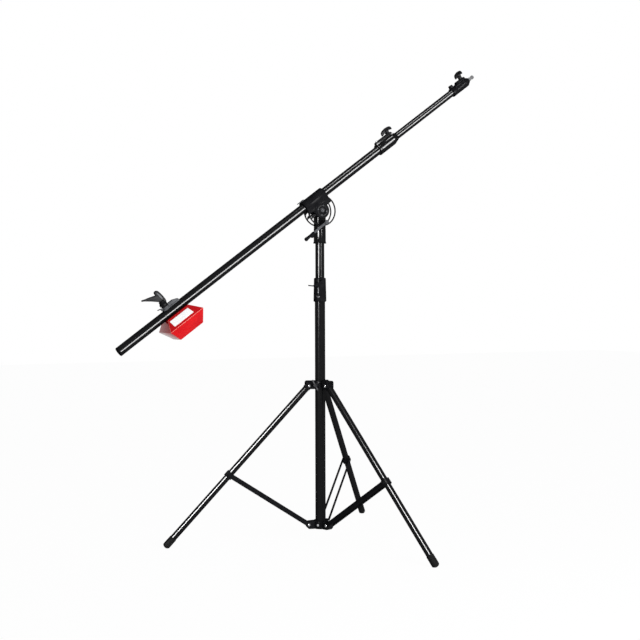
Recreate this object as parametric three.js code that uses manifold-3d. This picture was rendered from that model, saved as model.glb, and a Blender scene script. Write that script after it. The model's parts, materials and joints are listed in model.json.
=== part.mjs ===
// Overhead boom arm on a folding tripod stand, in millimetres, +Z up.
// The stand's column is vertical, and the boom lies over the X axis with its stud end up.
import * as THREE from "three";
import { mergeVertices } from "three/addons/utils/BufferGeometryUtils.js";
import Module from "manifold-3d";

const wasm = await Module();
wasm.setup();

// Fits shared by the whole stand
const seatGap = 0.3;
const cutOverrun = 2;
const pinRadius = 3;
const pinHoleRadius = pinRadius + seatGap;
const rivetHeadRadius = 5;
const rivetHeadHeight = 2.4;
const crownShare = 0.7;
const rimShare = 0.8;

// Column, its tubes and joints stepped down from the tilt pivot
const pivotHeight = 1285;
const collarDrop = 261;
const collarLength = 93;
const lowerTubeInCollar = 59;
const upperTubeDrop = 87;
const upperTubeLength = 868;
const lowerRadius = 20;
const lowerWall = 1.5;
const upperRadius = 17.5;
const upperWall = 1.2;
const lowerTubeBase = 53;
const collarTop = pivotHeight - collarDrop;
const collarBase = collarTop - collarLength;
const lowerTubeTop = collarBase + lowerTubeInCollar;
const upperTubeTop = pivotHeight - upperTubeDrop;
const upperTubeBase = upperTubeTop - upperTubeLength;
const plugFlangeHeight = 18;
const plugSpigotLength = 22;

// Folding legs and braces
const legAzimuths = { a: 164.15, b: 284.15, c: 44.15 };
const legHingeRadius = 46.5;
const legHingeHeight = 605;
const legSlope = 47.3;
const legLength = 811;
const legRadius = 12.5;
const legWall = 1.2;
const braceShare = 0.565;
const braceHingeRadius = 48.9;
const braceHingeHeight = 66.3;
const braceHalfHeight = 8.5;
const braceThickness = 2;
const braceInner = 14.6;

// Tilt head and boom
const restTilt = 36.24;
const boomRise = 47;
const boomRadius = 17.5;
const boomWall = 1.2;
const boomTail = -968;
const boomTubeFront = 448;
const extensionRadius = 14.25;
const extensionWall = 1.2;
const extensionRear = 60;
const extensionFront = 835;

const radians = THREE.MathUtils.degToRad;

// Facets round tubes, round small bosses and round pins, and along curved outlines
const tubeSides = 24;
const bossSides = 12;
const pinSides = 10;
const arcSteps = 12;
const smallArcSteps = 4;
const cornerSteps = 3;

// Finishes
const finishes = {
  gloss: { color: 0x08080a, roughness: 0.18, metalness: 0.35 },
  casting: { color: 0x101012, roughness: 0.42, metalness: 0.3 },
  plastic: { color: 0x141415, roughness: 0.5, metalness: 0 },
  rubber: { color: 0x0c0c0c, roughness: 0.85, metalness: 0 },
  steel: { color: 0xc9cacc, roughness: 0.25, metalness: 1 },
  grey: { color: 0x55575a, roughness: 0.4, metalness: 0.8 },
  red: { color: 0xd8101a, roughness: 0.2, metalness: 0.1 },
};

// A closed geometry as a solid, with its faces turned outwards.
function solidOf(geometry) {
  const bare = geometry.clone();
  for (const name of Object.keys(bare.attributes)) {
    if (name !== "position") bare.deleteAttribute(name);
  }
  const merged = mergeVertices(bare);
  const vertProperties = merged.attributes.position.array;
  const triVerts = new Uint32Array(merged.index.array);
  const made = new wasm.Manifold(new wasm.Mesh({ numProp: 3, vertProperties, triVerts }));
  if (made.volume() >= 0) return made;
  triVerts.reverse();
  return new wasm.Manifold(new wasm.Mesh({ numProp: 3, vertProperties, triVerts }));
}

function geometryOf(solid) {
  const mesh = solid.getMesh();
  const geometry = new THREE.BufferGeometry();
  const positions = new Float32Array(mesh.vertProperties);
  geometry.setAttribute("position", new THREE.BufferAttribute(positions, 3));
  geometry.setIndex(new THREE.BufferAttribute(new Uint32Array(mesh.triVerts), 1));
  return geometry;
}

function join(first, ...others) {
  return geometryOf(others.reduce((sum, next) => sum.add(solidOf(next)), solidOf(first)));
}

function cut(first, ...tools) {
  return geometryOf(tools.reduce((left, tool) => left.subtract(solidOf(tool)), solidOf(first)));
}

// A body of revolution about Z from [radius, height] pairs; a ring closes on its first point.
function revolve(pairs, sides) {
  const points = pairs.map(([radius, height]) => new THREE.Vector2(radius, height));
  const geometry = new THREE.LatheGeometry(points, sides).rotateX(Math.PI / 2);
  return geometryOf(solidOf(geometry));
}

function ring(outer, inner, low, high, sides) {
  return revolve([[inner, low], [outer, low], [outer, high], [inner, high], [inner, low]], sides);
}

function rod(radius, low, high, sides) {
  return revolve([[0, low], [radius, low], [radius, high], [0, high]], sides);
}

function box(low, high) {
  const size = new THREE.Vector3(...high).sub(new THREE.Vector3(...low));
  const middle = new THREE.Vector3(...high).add(new THREE.Vector3(...low)).multiplyScalar(1 / 2);
  return new THREE.BoxGeometry(size.x, size.y, size.z).translate(...middle.toArray());
}

// An outline in the X-Z plane, thickened along Y from one side to the other.
function plate(shape, near, far, curveSegments) {
  const options = { depth: far - near, bevelEnabled: false, curveSegments };
  return new THREE.ExtrudeGeometry(shape, options).rotateX(Math.PI / 2).translate(0, far, 0);
}

// An outline in the Y-Z plane, drawn out along X.
function channel(shape, rear, front, curveSegments) {
  const options = { depth: front - rear, bevelEnabled: false, curveSegments };
  const geometry = new THREE.ExtrudeGeometry(shape, options);
  return geometry.rotateX(Math.PI / 2).rotateZ(Math.PI / 2).translate(rear, 0, 0);
}

function onX(geometry) {
  return geometry.rotateY(Math.PI / 2);
}

function onY(geometry) {
  return geometry.rotateX(-Math.PI / 2);
}

// A rounded corner as [radius, height] pairs about a centre.
function bend(centreRadius, centreHeight, radius, from, to, steps) {
  const pairs = [];
  for (let i = 0; i <= steps; i += 1) {
    const angle = radians(from + ((to - from) * i) / steps);
    pairs.push([centreRadius + radius * Math.cos(angle), centreHeight + radius * Math.sin(angle)]);
  }
  return pairs;
}

// A flat link with round ends, from the origin along X.
function linkShape(length, halfWidth) {
  const shape = new THREE.Shape();
  shape.absarc(0, 0, halfWidth, Math.PI / 2, (3 * Math.PI) / 2, false);
  shape.absarc(length, 0, halfWidth, -Math.PI / 2, Math.PI / 2, false);
  return shape;
}

function piece(name, geometry, finish) {
  const mesh = new THREE.Mesh(geometry, new THREE.MeshStandardMaterial(finishes[finish]));
  mesh.name = name;
  geometry.computeVertexNormals();
  return mesh;
}

function groupAt(name, x, y, z) {
  const group = new THREE.Group();
  group.name = name;
  group.position.set(x, y, z);
  return group;
}

const boomArm = new THREE.Group();

// A tube with an inside plug at one end: flange outside the tube, spigot in its bore.
function endPlug(flangeRadius, boreRadius, flangeHeight, spigotLength, sides) {
  const spigot = boreRadius - seatGap;
  return revolve([
    [0, -flangeHeight],
    [flangeRadius, -flangeHeight],
    [flangeRadius, -seatGap],
    [spigot, -seatGap],
    [spigot, spigotLength],
    [0, spigotLength],
  ], sides);
}

// Spreader hub at the foot of the column
const hubBase = 49;
const hubTop = 82;
const hubRadius = 27;
const hubBore = lowerRadius + seatGap;
const hubLugReach = 57;
const hubLugHalfWidth = braceInner - seatGap;
const hubLugFoot = 8;
const hubBoltAzimuth = 224.15;
const hubBoltRadius = 4.5;
const hubBoltHeight = 3.6;
const hubPadHalfWidth = 9;
const hubPadReach = 31;

function hubLug(azimuth) {
  const shape = new THREE.Shape();
  const corner = hubLugReach - hubLugFoot;
  const shoulder = braceHingeHeight + hubLugFoot / 2;
  shape.moveTo(lowerRadius, hubBase);
  shape.lineTo(corner, hubBase);
  shape.lineTo(hubLugReach, hubBase + hubLugFoot);
  shape.lineTo(hubLugReach, shoulder);
  shape.absarc(corner, shoulder, hubLugFoot, 0, Math.PI / 2, false);
  shape.lineTo(hubRadius, hubTop);
  shape.lineTo(lowerRadius, hubTop);
  const hole = onY(rod(pinHoleRadius, -hubLugReach, hubLugReach, pinSides));
  hole.translate(braceHingeRadius, 0, braceHingeHeight);
  return cut(plate(shape, -hubLugHalfWidth, hubLugHalfWidth, smallArcSteps), hole).rotateZ(radians(azimuth));
}

function spreaderHub() {
  const pad = box(
    [0, -hubPadHalfWidth, hubBase + hubLugFoot],
    [hubPadReach, hubPadHalfWidth, hubTop - hubLugFoot],
  );
  pad.rotateZ(radians(hubBoltAzimuth));
  const body = join(
    rod(hubRadius, hubBase, hubTop, tubeSides),
    pad,
    ...Object.values(legAzimuths).map(hubLug),
  );
  return cut(body, rod(hubBore, hubBase - cutOverrun, hubTop + cutOverrun, tubeSides));
}

// A hexagon bolt head with a short domed face, along Z from its seat.
function boltHead(radius, height) {
  const crown = radius * crownShare;
  return revolve([[0, 0], [radius, 0], [radius, height * rimShare], [crown, height], [0, height]], 6);
}

boomArm.add(piece("spreader_hub", spreaderHub(), "casting"));

const hubBolt = groupAt("hub_bolt_seat", 0, 0, (hubBase + hubTop) / 2);
hubBolt.rotation.z = radians(hubBoltAzimuth);
const hubBoltMesh = piece("hub_clamp_bolt", onX(boltHead(hubBoltRadius, hubBoltHeight)), "steel");
hubBoltMesh.position.x = hubPadReach + seatGap;
hubBolt.add(hubBoltMesh);
boomArm.add(hubBolt);

boomArm.add(piece("column_lower_tube",
  ring(lowerRadius, lowerRadius - lowerWall, lowerTubeBase, lowerTubeTop, tubeSides), "gloss"));

const footPlug = piece("column_foot_plug", endPlug(
  lowerRadius, lowerRadius - lowerWall, lowerTubeBase - hubBase, plugFlangeHeight, tubeSides,
), "plastic");
footPlug.position.z = lowerTubeBase;
boomArm.add(footPlug);

// Telescope collar at the top of the lower tube
const collarBaseRadius = 25;
const collarTopRadius = 23.2;
const collarCorner = 4;
const columnLockAzimuth = 260;
const columnLockDrop = 16;
const columnLockHeight = collarTop - columnLockDrop;
const lockBossRadius = 8;
const lockBossReach = 29;
const lockScrewRadius = 4;
const slitAzimuth = 227;
const slitWidth = 1.6;
const slitRise = 31;
const slitLength = 23;
const slitBase = collarBase + slitRise;
const slitTop = slitBase + slitLength;
const slitDepth = 1;

function columnCollar() {
  const outline = [
    [hubBore, collarBase],
    ...bend(collarBaseRadius - collarCorner, collarBase + collarCorner, collarCorner, -90, 0, cornerSteps),
    ...bend(collarTopRadius - collarCorner, collarTop - collarCorner, collarCorner, 0, 90, cornerSteps),
    [upperRadius + seatGap, collarTop],
    [upperRadius + seatGap, lowerTubeTop + seatGap],
    [hubBore, lowerTubeTop + seatGap],
    [hubBore, collarBase],
  ];
  const boss = onX(rod(lockBossRadius, lowerRadius, lockBossReach, bossSides));
  boss.translate(0, 0, columnLockHeight).rotateZ(radians(columnLockAzimuth));
  const screwHole = onX(rod(lockScrewRadius + seatGap, 0, lockBossReach + cutOverrun, bossSides));
  screwHole.translate(0, 0, columnLockHeight).rotateZ(radians(columnLockAzimuth));
  const slit = box(
    [collarTopRadius - slitDepth, -slitWidth / 2, slitBase],
    [collarBaseRadius + cutOverrun, slitWidth / 2, slitTop],
  );
  slit.rotateZ(radians(slitAzimuth));
  return cut(join(revolve(outline, tubeSides), boss), screwHole, slit);
}
boomArm.add(piece("column_collar", columnCollar(), "casting"));

// Column lock lever: screw, hub and a bent tapering blade
const lockHubRadius = 7;
const lockHubLength = 9;
const lockBladeLength = 50;
const lockBladeRoot = 5;
const lockBladeTip = 2.2;
const lockBladeThickness = 4;
const lockBladeDrop = 14;

function lockLever(screwEnd, bossReach) {
  const screw = onX(rod(lockScrewRadius, screwEnd, bossReach + lockHubLength, bossSides));
  const hub = onX(rod(lockHubRadius, bossReach + seatGap, bossReach + lockHubLength, bossSides));
  const blade = new THREE.Shape();
  blade.moveTo(0, lockBladeRoot);
  blade.quadraticCurveTo(-lockBladeLength / 2, lockBladeRoot, -lockBladeLength, lockBladeTip - lockBladeDrop);
  blade.lineTo(-lockBladeLength, -lockBladeTip - lockBladeDrop);
  blade.quadraticCurveTo(-lockBladeLength / 2, -lockBladeRoot, 0, -lockBladeRoot);
  const face = bossReach + lockHubLength;
  const arm = channel(blade, face - lockBladeThickness, face, smallArcSteps);
  return join(screw, hub, arm);
}
const columnLock = groupAt("column_lock_axis", 0, 0, columnLockHeight);
columnLock.rotation.z = radians(columnLockAzimuth);
columnLock.add(piece("column_lock_lever", lockLever(upperRadius + seatGap, lockBossReach), "plastic"));
boomArm.add(columnLock);

// Leg collar that slides on the lower tube
const legCollarDrop = 13;
const legCollarRise = 20;
const legCollarBase = legHingeHeight - legCollarDrop;
const legCollarTop = legHingeHeight + legCollarRise;
const legCollarRadius = 27;
const earInner = legRadius + seatGap;
const earOuter = 17.3;
const earReach = 59;
const earCorner = 8;
const earWebThickness = 6.5;
const legLockAzimuth = 218;
const legLockBossRadius = 7;
const legLockBossReach = 41;
const legLockScrewRadius = 3.5;
const legLockHeight = (legCollarBase + legCollarTop) / 2;
const legLockWingReach = 24;
const legLockWingTurn = 60;

function legEar(azimuth) {
  const shape = new THREE.Shape();
  shape.moveTo(lowerRadius, legCollarBase);
  shape.lineTo(earReach - earCorner, legCollarBase);
  shape.absarc(earReach - earCorner, legCollarBase + earCorner, earCorner, -Math.PI / 2, 0, false);
  shape.lineTo(earReach, legCollarTop - earCorner);
  shape.absarc(earReach - earCorner, legCollarTop - earCorner, earCorner, 0, Math.PI / 2, false);
  shape.lineTo(lowerRadius, legCollarTop);
  const slot = box(
    [legCollarRadius, -earInner, legCollarBase - cutOverrun],
    [earReach + cutOverrun, earInner, legCollarTop - earWebThickness],
  );
  const hole = onY(rod(pinHoleRadius, -earReach, earReach, pinSides));
  hole.translate(legHingeRadius, 0, legHingeHeight);
  return cut(plate(shape, -earOuter, earOuter, smallArcSteps), slot, hole).rotateZ(radians(azimuth));
}

function legCollar() {
  const boss = onX(rod(legLockBossRadius, lowerRadius, legLockBossReach, bossSides));
  boss.translate(0, 0, legLockHeight).rotateZ(radians(legLockAzimuth));
  const body = join(
    rod(legCollarRadius, legCollarBase, legCollarTop, tubeSides),
    boss,
    ...Object.values(legAzimuths).map(legEar),
  );
  const screwHole = onX(rod(legLockScrewRadius + seatGap, 0, legLockBossReach + cutOverrun, bossSides));
  screwHole.translate(0, 0, legLockHeight).rotateZ(radians(legLockAzimuth));
  return cut(body, rod(hubBore, legCollarBase - cutOverrun, legCollarTop + cutOverrun, tubeSides), screwHole);
}
boomArm.add(piece("leg_collar", legCollar(), "casting"));

// A small wing screw along X: shank, round hub and two tapering wings across it
const wingTipShare = 0.9;
const wingRootShare = 0.3;
function wingScrew(shankRadius, shankStart, hubStart, hubLength, wingReach) {
  const shank = onX(rod(shankRadius, shankStart, hubStart + hubLength, bossSides));
  const hub = onX(rod(shankRadius * 2, hubStart, hubStart + hubLength, bossSides));
  const wing = new THREE.Shape();
  const tip = shankRadius * wingTipShare;
  const root = wingReach * wingRootShare;
  wing.moveTo(-shankRadius, -root);
  wing.lineTo(-tip, -wingReach);
  wing.lineTo(tip, -wingReach);
  wing.lineTo(shankRadius, 0);
  wing.lineTo(tip, wingReach);
  wing.lineTo(-tip, wingReach);
  wing.lineTo(-shankRadius, root);
  const wings = channel(wing, hubStart + hubLength / 3, hubStart + hubLength, smallArcSteps);
  return join(shank, hub, wings);
}
const legLock = groupAt("leg_lock_axis", 0, 0, legLockHeight);
legLock.rotation.z = radians(legLockAzimuth);
const legLockMesh = piece("leg_lock_screw", wingScrew(
  legLockScrewRadius, hubBore, legLockBossReach + seatGap, lockHubLength, legLockWingReach,
), "plastic");
legLockMesh.rotation.x = radians(90 - legLockWingTurn);
legLock.add(legLockMesh);
boomArm.add(legLock);

// A rivet along Y with a low head at each end
function rivet(halfLength) {
  const top = halfLength + rivetHeadHeight;
  const crown = rivetHeadRadius * crownShare;
  return onY(revolve([
    [0, -top],
    [crown, -top],
    [rivetHeadRadius, -halfLength - rivetHeadHeight / 3],
    [rivetHeadRadius, -halfLength],
    [pinRadius, -halfLength],
    [pinRadius, halfLength],
    [rivetHeadRadius, halfLength],
    [rivetHeadRadius, halfLength + rivetHeadHeight / 3],
    [crown, top],
    [0, top],
  ], pinSides));
}

// Leg pieces, along X from the hinge pin
const legTubeStart = 14;
const footFloor = 5;
const legTubeEnd = legLength - footFloor;
const legPlugReach = 24;
const footRadius = 14;
const footSleeve = 38;
const footNose = 9;
const clipHalfLength = 12;
const clipHalfHeight = 14.5;
const clipCorner = 4;
const floorSlab = 40;

function legPlug() {
  const tongueHalf = earInner - 2 * seatGap;
  const tongue = plate(linkShape(legTubeStart, tongueHalf), -tongueHalf, tongueHalf, smallArcSteps);
  const trim = box(
    [legTubeStart, -footSleeve, -footSleeve],
    [legTubeStart + footSleeve, footSleeve, footSleeve],
  );
  const spigotEnd = legTubeStart + legPlugReach;
  const spigot = onX(rod(legRadius - legWall - seatGap, legTubeStart / 2, spigotEnd, bossSides));
  const hole = onY(rod(pinHoleRadius, -footSleeve, footSleeve, pinSides));
  return cut(join(cut(tongue, trim), spigot), hole);
}

function legFoot() {
  const bore = legRadius + seatGap;
  const outline = [
    [bore, legLength - footSleeve],
    [footRadius, legLength - footSleeve],
    [footRadius, legLength],
    ...[60, 30, 0].map((angle) => [
      footRadius * Math.sin(radians(angle)),
      legLength + footNose * Math.cos(radians(angle)),
    ]),
    [0, legTubeEnd + seatGap],
    [bore, legTubeEnd + seatGap],
    [bore, legLength - footSleeve],
  ];
  const sole = box(
    [-legLength, -footSleeve, -legHingeHeight - floorSlab],
    [legLength, footSleeve, -legHingeHeight],
  ).rotateY(radians(-legSlope));
  return cut(onX(revolve(outline, tubeSides)), sole);
}

function braceClip() {
  const shape = new THREE.Shape();
  const halfWidth = braceInner - seatGap;
  const flat = clipHalfHeight - clipCorner;
  shape.moveTo(-halfWidth, -flat);
  shape.lineTo(clipCorner - halfWidth, -clipHalfHeight);
  shape.lineTo(halfWidth - clipCorner, -clipHalfHeight);
  shape.lineTo(halfWidth, -flat);
  shape.lineTo(halfWidth, flat);
  shape.lineTo(halfWidth - clipCorner, clipHalfHeight);
  shape.lineTo(clipCorner - halfWidth, clipHalfHeight);
  shape.lineTo(-halfWidth, flat);
  const around = channel(shape, -clipHalfLength, clipHalfLength, smallArcSteps);
  const boreHalf = clipHalfLength + cutOverrun;
  const bore = onX(rod(legRadius + seatGap, -boreHalf, boreHalf, tubeSides));
  return cut(around, bore).translate(legLength * braceShare, 0, 0);
}

// One flat brace bar with its upper rivet, on the side of the leg that the sign gives
const pivotDrop = legLength * braceShare * Math.sin(radians(legSlope));
const pivotReach = legLength * braceShare * Math.cos(radians(legSlope));
const pivotRise = legHingeHeight - pivotDrop - braceHingeHeight;
const pivotRun = legHingeRadius + pivotReach - braceHingeRadius;
const braceLength = Math.hypot(pivotRise, pivotRun);
const braceSlope = THREE.MathUtils.radToDeg(Math.atan2(pivotRise, pivotRun));

function braceBar(sign) {
  const near = sign > 0 ? braceInner : -braceInner - braceThickness;
  const bar = plate(linkShape(braceLength, braceHalfHeight), near, near + braceThickness, smallArcSteps);
  const hole = onY(rod(pinHoleRadius, -footSleeve, footSleeve, pinSides));
  const head = onY(revolve([
    [0, 0],
    [rivetHeadRadius, 0],
    [rivetHeadRadius, braceThickness / 2 + rivetHeadHeight / 3],
    [rivetHeadRadius * crownShare, braceThickness / 2 + rivetHeadHeight],
    [0, braceThickness / 2 + rivetHeadHeight],
  ], pinSides));
  if (sign < 0) head.rotateX(Math.PI);
  head.translate(braceLength, sign * (braceInner + braceThickness / 2), 0);
  return join(cut(bar, hole), head);
}

for (const [letter, azimuth] of Object.entries(legAzimuths)) {
  const spoke = groupAt("spoke_" + letter, 0, 0, 0);
  spoke.rotation.z = radians(azimuth);
  const leg = groupAt("leg_axis_" + letter, legHingeRadius, 0, legHingeHeight);
  leg.rotation.y = radians(legSlope);
  const legTube = onX(ring(legRadius, legRadius - legWall, legTubeStart + seatGap, legTubeEnd, tubeSides));
  leg.add(piece("leg_tube_" + letter, legTube, "gloss"));
  leg.add(piece("leg_plug_" + letter, legPlug(), "plastic"));
  leg.add(piece("leg_foot_" + letter, legFoot(), "rubber"));
  leg.add(piece("brace_clip_" + letter, braceClip(), "plastic"));
  const hingePin = piece("leg_pin_" + letter, rivet(earOuter + seatGap), "steel");
  hingePin.position.set(legHingeRadius, 0, legHingeHeight);
  const brace = groupAt("brace_axis_" + letter, braceHingeRadius, 0, braceHingeHeight);
  brace.rotation.y = radians(-braceSlope);
  brace.add(piece("brace_left_" + letter, braceBar(1), "casting"));
  brace.add(piece("brace_right_" + letter, braceBar(-1), "casting"));
  const bracePin = piece("brace_pin_" + letter, rivet(braceInner + braceThickness + seatGap), "steel");
  bracePin.position.set(braceHingeRadius, 0, braceHingeHeight);
  spoke.add(leg, hingePin, brace, bracePin);
  boomArm.add(spoke);
}

// Upper column
boomArm.add(piece("column_upper_tube",
  ring(upperRadius, upperRadius - upperWall, upperTubeBase, upperTubeTop, tubeSides), "gloss"));
const columnGuide = piece("column_guide_bush", endPlug(
  lowerRadius - lowerWall - seatGap, upperRadius - upperWall, plugFlangeHeight, plugSpigotLength, tubeSides,
), "plastic");
columnGuide.position.z = upperTubeBase;
boomArm.add(columnGuide);

// Head socket and the block between the sector plates
const socketDrop = 127;
const socketLength = 57;
const socketBase = pivotHeight - socketDrop;
const socketTop = socketBase + socketLength;
const socketRadius = 23.5;
const socketFlare = 25.5;
const socketFlareHeight = 7;
const plateInner = 16.2;
const plateThickness = 3;
const plateOuter = plateInner + plateThickness;
const blockHalfThickness = plateInner - seatGap;
const blockFootHalfWidth = 18;
const blockHeadRadius = 19;
const pivotBoltRadius = 5;
const clampBoltRadius = 4;
const clampDrop = 48;
const socketScrewAzimuth = 60;
const socketScrewRadius = 4;
const socketScrewRise = 22;
const socketScrewHeight = socketBase + socketScrewRise;
const socketScrewHeadRadius = 6;

function headSocket() {
  const bore = upperRadius + seatGap;
  const outline = [
    [bore, socketBase],
    [socketFlare, socketBase],
    [socketRadius, socketBase + socketFlareHeight],
    ...bend(socketRadius - collarCorner, socketTop - collarCorner, collarCorner, 0, 90, cornerSteps),
    [0, socketTop],
    [0, upperTubeTop + seatGap],
    [bore, upperTubeTop + seatGap],
    [bore, socketBase],
  ];
  const shape = new THREE.Shape();
  shape.moveTo(-blockFootHalfWidth, socketTop - collarCorner);
  shape.lineTo(blockFootHalfWidth, socketTop - collarCorner);
  shape.lineTo(blockHeadRadius, pivotHeight);
  shape.absarc(0, pivotHeight, blockHeadRadius, 0, Math.PI, false);
  const block = plate(shape, -blockHalfThickness, blockHalfThickness, smallArcSteps);
  const pivotHole = onY(rod(pivotBoltRadius + seatGap, -socketTop, socketTop, bossSides));
  const clampHole = onY(rod(clampBoltRadius + seatGap, -socketTop, socketTop, bossSides));
  const screwHole = onX(rod(socketScrewRadius + seatGap, 0, socketFlare + cutOverrun, bossSides));
  return cut(
    join(revolve(outline, tubeSides), block),
    pivotHole.translate(0, 0, pivotHeight),
    clampHole.translate(0, 0, pivotHeight - clampDrop),
    screwHole.translate(0, 0, socketScrewHeight).rotateZ(radians(socketScrewAzimuth)),
  );
}
boomArm.add(piece("head_socket", headSocket(), "casting"));

const socketScrew = groupAt("socket_screw_axis", 0, 0, socketScrewHeight);
socketScrew.rotation.z = radians(socketScrewAzimuth);
socketScrew.add(piece("socket_screw", join(
  onX(rod(socketScrewRadius, upperRadius + seatGap, socketFlare + seatGap, bossSides)),
  onX(boltHead(socketScrewHeadRadius, socketScrewRadius)).translate(socketFlare + seatGap, 0, 0),
), "steel"));
boomArm.add(socketScrew);

// Bolts across the head, along Y
const discRadius = 31;
const discThickness = 3;
const discOuter = plateOuter + seatGap + discThickness;
const washerRadius = 13.5;
const washerThickness = 2.5;
const washerOuter = plateOuter + seatGap + washerThickness;
const pivotHeadRadius = 8;
const pivotHeadHeight = 5;

function crossBolt(radius, headRadius, headHeight, near, far) {
  const shank = onY(rod(radius, near - headHeight / 2, far + headHeight / 2, bossSides));
  const nearHead = onY(boltHead(headRadius, headHeight)).rotateZ(Math.PI);
  const farHead = onY(boltHead(headRadius, headHeight));
  return join(
    shank,
    nearHead.translate(0, near - seatGap, 0),
    farHead.translate(0, far + seatGap, 0),
  );
}
const pivotBolt = piece("tilt_pivot_bolt",
  crossBolt(pivotBoltRadius, pivotHeadRadius, pivotHeadHeight, -discOuter, discOuter), "grey");
pivotBolt.position.z = pivotHeight;
boomArm.add(pivotBolt);

// Clamp through the sector slots: a washer on each side, a nut at the back and the lever's thread in front
const leverHubNear = -62;
const leverHubFar = -washerOuter - 2 * seatGap;
const leverHubRadius = 8.5;
const leverTurn = 218;
const leverBarStart = 6;
const leverBarEnd = 74;
const leverBarHalfHeight = 4.5;
const leverBarThickness = 5;
const leverGripStart = 70;
const leverGripEnd = 118;
const leverGripRadius = 6.5;
const leverFlareShare = 1.25;
const gripSwellShare = 1.15;
const thumbShare = 1.6;
const clampNutRadius = 7.2;
const clampNutHeight = 6.4;

function clampBolt() {
  const shank = onY(rod(clampBoltRadius, -blockHalfThickness, washerOuter, bossSides));
  const nut = onY(boltHead(clampNutRadius, clampNutHeight));
  const back = onY(rod(washerRadius, plateOuter + seatGap, washerOuter, tubeSides));
  return join(shank, nut.translate(0, washerOuter - seatGap, 0), back);
}
const clampMesh = piece("tilt_clamp_bolt", clampBolt(), "grey");
clampMesh.position.z = pivotHeight - clampDrop;
boomArm.add(clampMesh);
const washerMesh = piece("tilt_clamp_washer", onY(ring(
  washerRadius, clampBoltRadius + seatGap, plateOuter + seatGap, washerOuter, tubeSides,
)).rotateZ(Math.PI), "casting");
washerMesh.position.z = pivotHeight - clampDrop;
boomArm.add(washerMesh);

const tiltLever = groupAt("tilt_lever_axis", 0, 0, pivotHeight - clampDrop);
function leverBar() {
  const screwEnd = -blockHalfThickness - seatGap;
  const screw = onY(rod(clampBoltRadius, leverHubNear + leverBarThickness, screwEnd, bossSides));
  const hub = onY(revolve([
    [0, leverHubNear],
    [leverHubRadius * rimShare, leverHubNear],
    [leverHubRadius, leverHubNear + cutOverrun],
    [leverHubRadius, leverHubFar - cutOverrun],
    [leverHubRadius * leverFlareShare, leverHubFar],
    [0, leverHubFar],
  ], bossSides));
  const near = leverHubNear + leverBarThickness / 2;
  const shape = linkShape(leverBarEnd - leverBarStart, leverBarHalfHeight);
  const bar = plate(shape, near, near + leverBarThickness, smallArcSteps).translate(leverBarStart, 0, 0);
  return join(screw, hub, bar);
}
function leverGrip() {
  const swell = leverGripRadius * gripSwellShare;
  const body = onX(revolve([
    [0, leverGripStart],
    [leverGripRadius, leverGripStart],
    [leverGripRadius, leverGripStart + leverGripRadius],
    [leverGripRadius * rimShare, (leverGripStart + leverGripEnd) / 2],
    [swell, leverGripEnd - leverGripRadius],
    [leverGripRadius * crownShare, leverGripEnd],
    [0, leverGripEnd],
  ], bossSides));
  const thumb = new THREE.Shape();
  thumb.moveTo(leverGripStart + leverGripRadius / 2, 0);
  thumb.quadraticCurveTo(
    leverGripStart + leverGripRadius, leverGripRadius * 2,
    leverGripStart + leverGripRadius * 2, leverGripRadius * 2,
  );
  thumb.quadraticCurveTo(
    leverGripStart + leverGripRadius * 3, leverGripRadius * thumbShare,
    leverGripStart + leverGripRadius * (2 + thumbShare), 0,
  );
  const half = leverBarThickness / 2;
  const room = half + seatGap;
  const pocket = plate(linkShape(leverBarEnd, leverBarHalfHeight + seatGap), -room, room, smallArcSteps);
  const grip = cut(join(body, plate(thumb, -half, half, smallArcSteps)), pocket);
  return grip.translate(0, leverHubNear + leverBarThickness, 0);
}
tiltLever.rotation.y = radians(-leverTurn);
tiltLever.add(piece("tilt_lever_bar", leverBar(), "grey"));
tiltLever.add(piece("tilt_lever_grip", leverGrip(), "plastic"));
boomArm.add(tiltLever);

// Cradle, in the boom's own frame: the pivot at the origin, the boom's axis above it
const cradle = groupAt("cradle_axis", 0, 0, pivotHeight);
cradle.rotation.y = radians(-restTilt);
boomArm.add(cradle);

const sectorRadius = 60.5;
const sectorRim = 4;
const slotInner = 31.5;
const slotOuter = sectorRadius - sectorRim;
const slotMiddle = (slotInner + slotOuter) / 2;
const slotEnd = (slotOuter - slotInner) / 2;
const slotFrom = 6;
const slotTo = -188;
const saddleRear = -53;
const saddleFront = 53;
const saddleOuter = 24.5;
const saddleSkirt = 19.5;
const saddleFloor = boomRise - saddleSkirt;
const screwCircle = 19;
const discScrews = 4;
const screwRadius = 3;
const boomLockPlace = -40;

function sectorPlate(near) {
  const top = saddleFloor - seatGap;
  const topAngle = Math.asin(top / sectorRadius);
  const shape = new THREE.Shape();
  shape.absarc(0, 0, sectorRadius, Math.PI - topAngle, 2 * Math.PI + topAngle, false);
  const slot = new THREE.Path();
  const from = radians(slotFrom);
  const to = radians(slotTo);
  const endAt = [slotMiddle * Math.cos(to), slotMiddle * Math.sin(to)];
  const startAt = [slotMiddle * Math.cos(from), slotMiddle * Math.sin(from)];
  slot.absarc(0, 0, slotOuter, from, to, true);
  slot.absarc(...endAt, slotEnd, to, to - Math.PI, true);
  slot.absarc(0, 0, slotInner, to, from, false);
  slot.absarc(...startAt, slotEnd, from - Math.PI, from - 2 * Math.PI, true);
  shape.holes.push(slot);
  const bolt = new THREE.Path();
  bolt.absarc(0, 0, pivotBoltRadius + seatGap, 0, 2 * Math.PI, false);
  shape.holes.push(bolt);
  return plate(shape, near, near + plateThickness, arcSteps);
}
cradle.add(piece("sector_plate_front", sectorPlate(-plateOuter), "casting"));
cradle.add(piece("sector_plate_back", sectorPlate(plateInner), "casting"));

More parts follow.
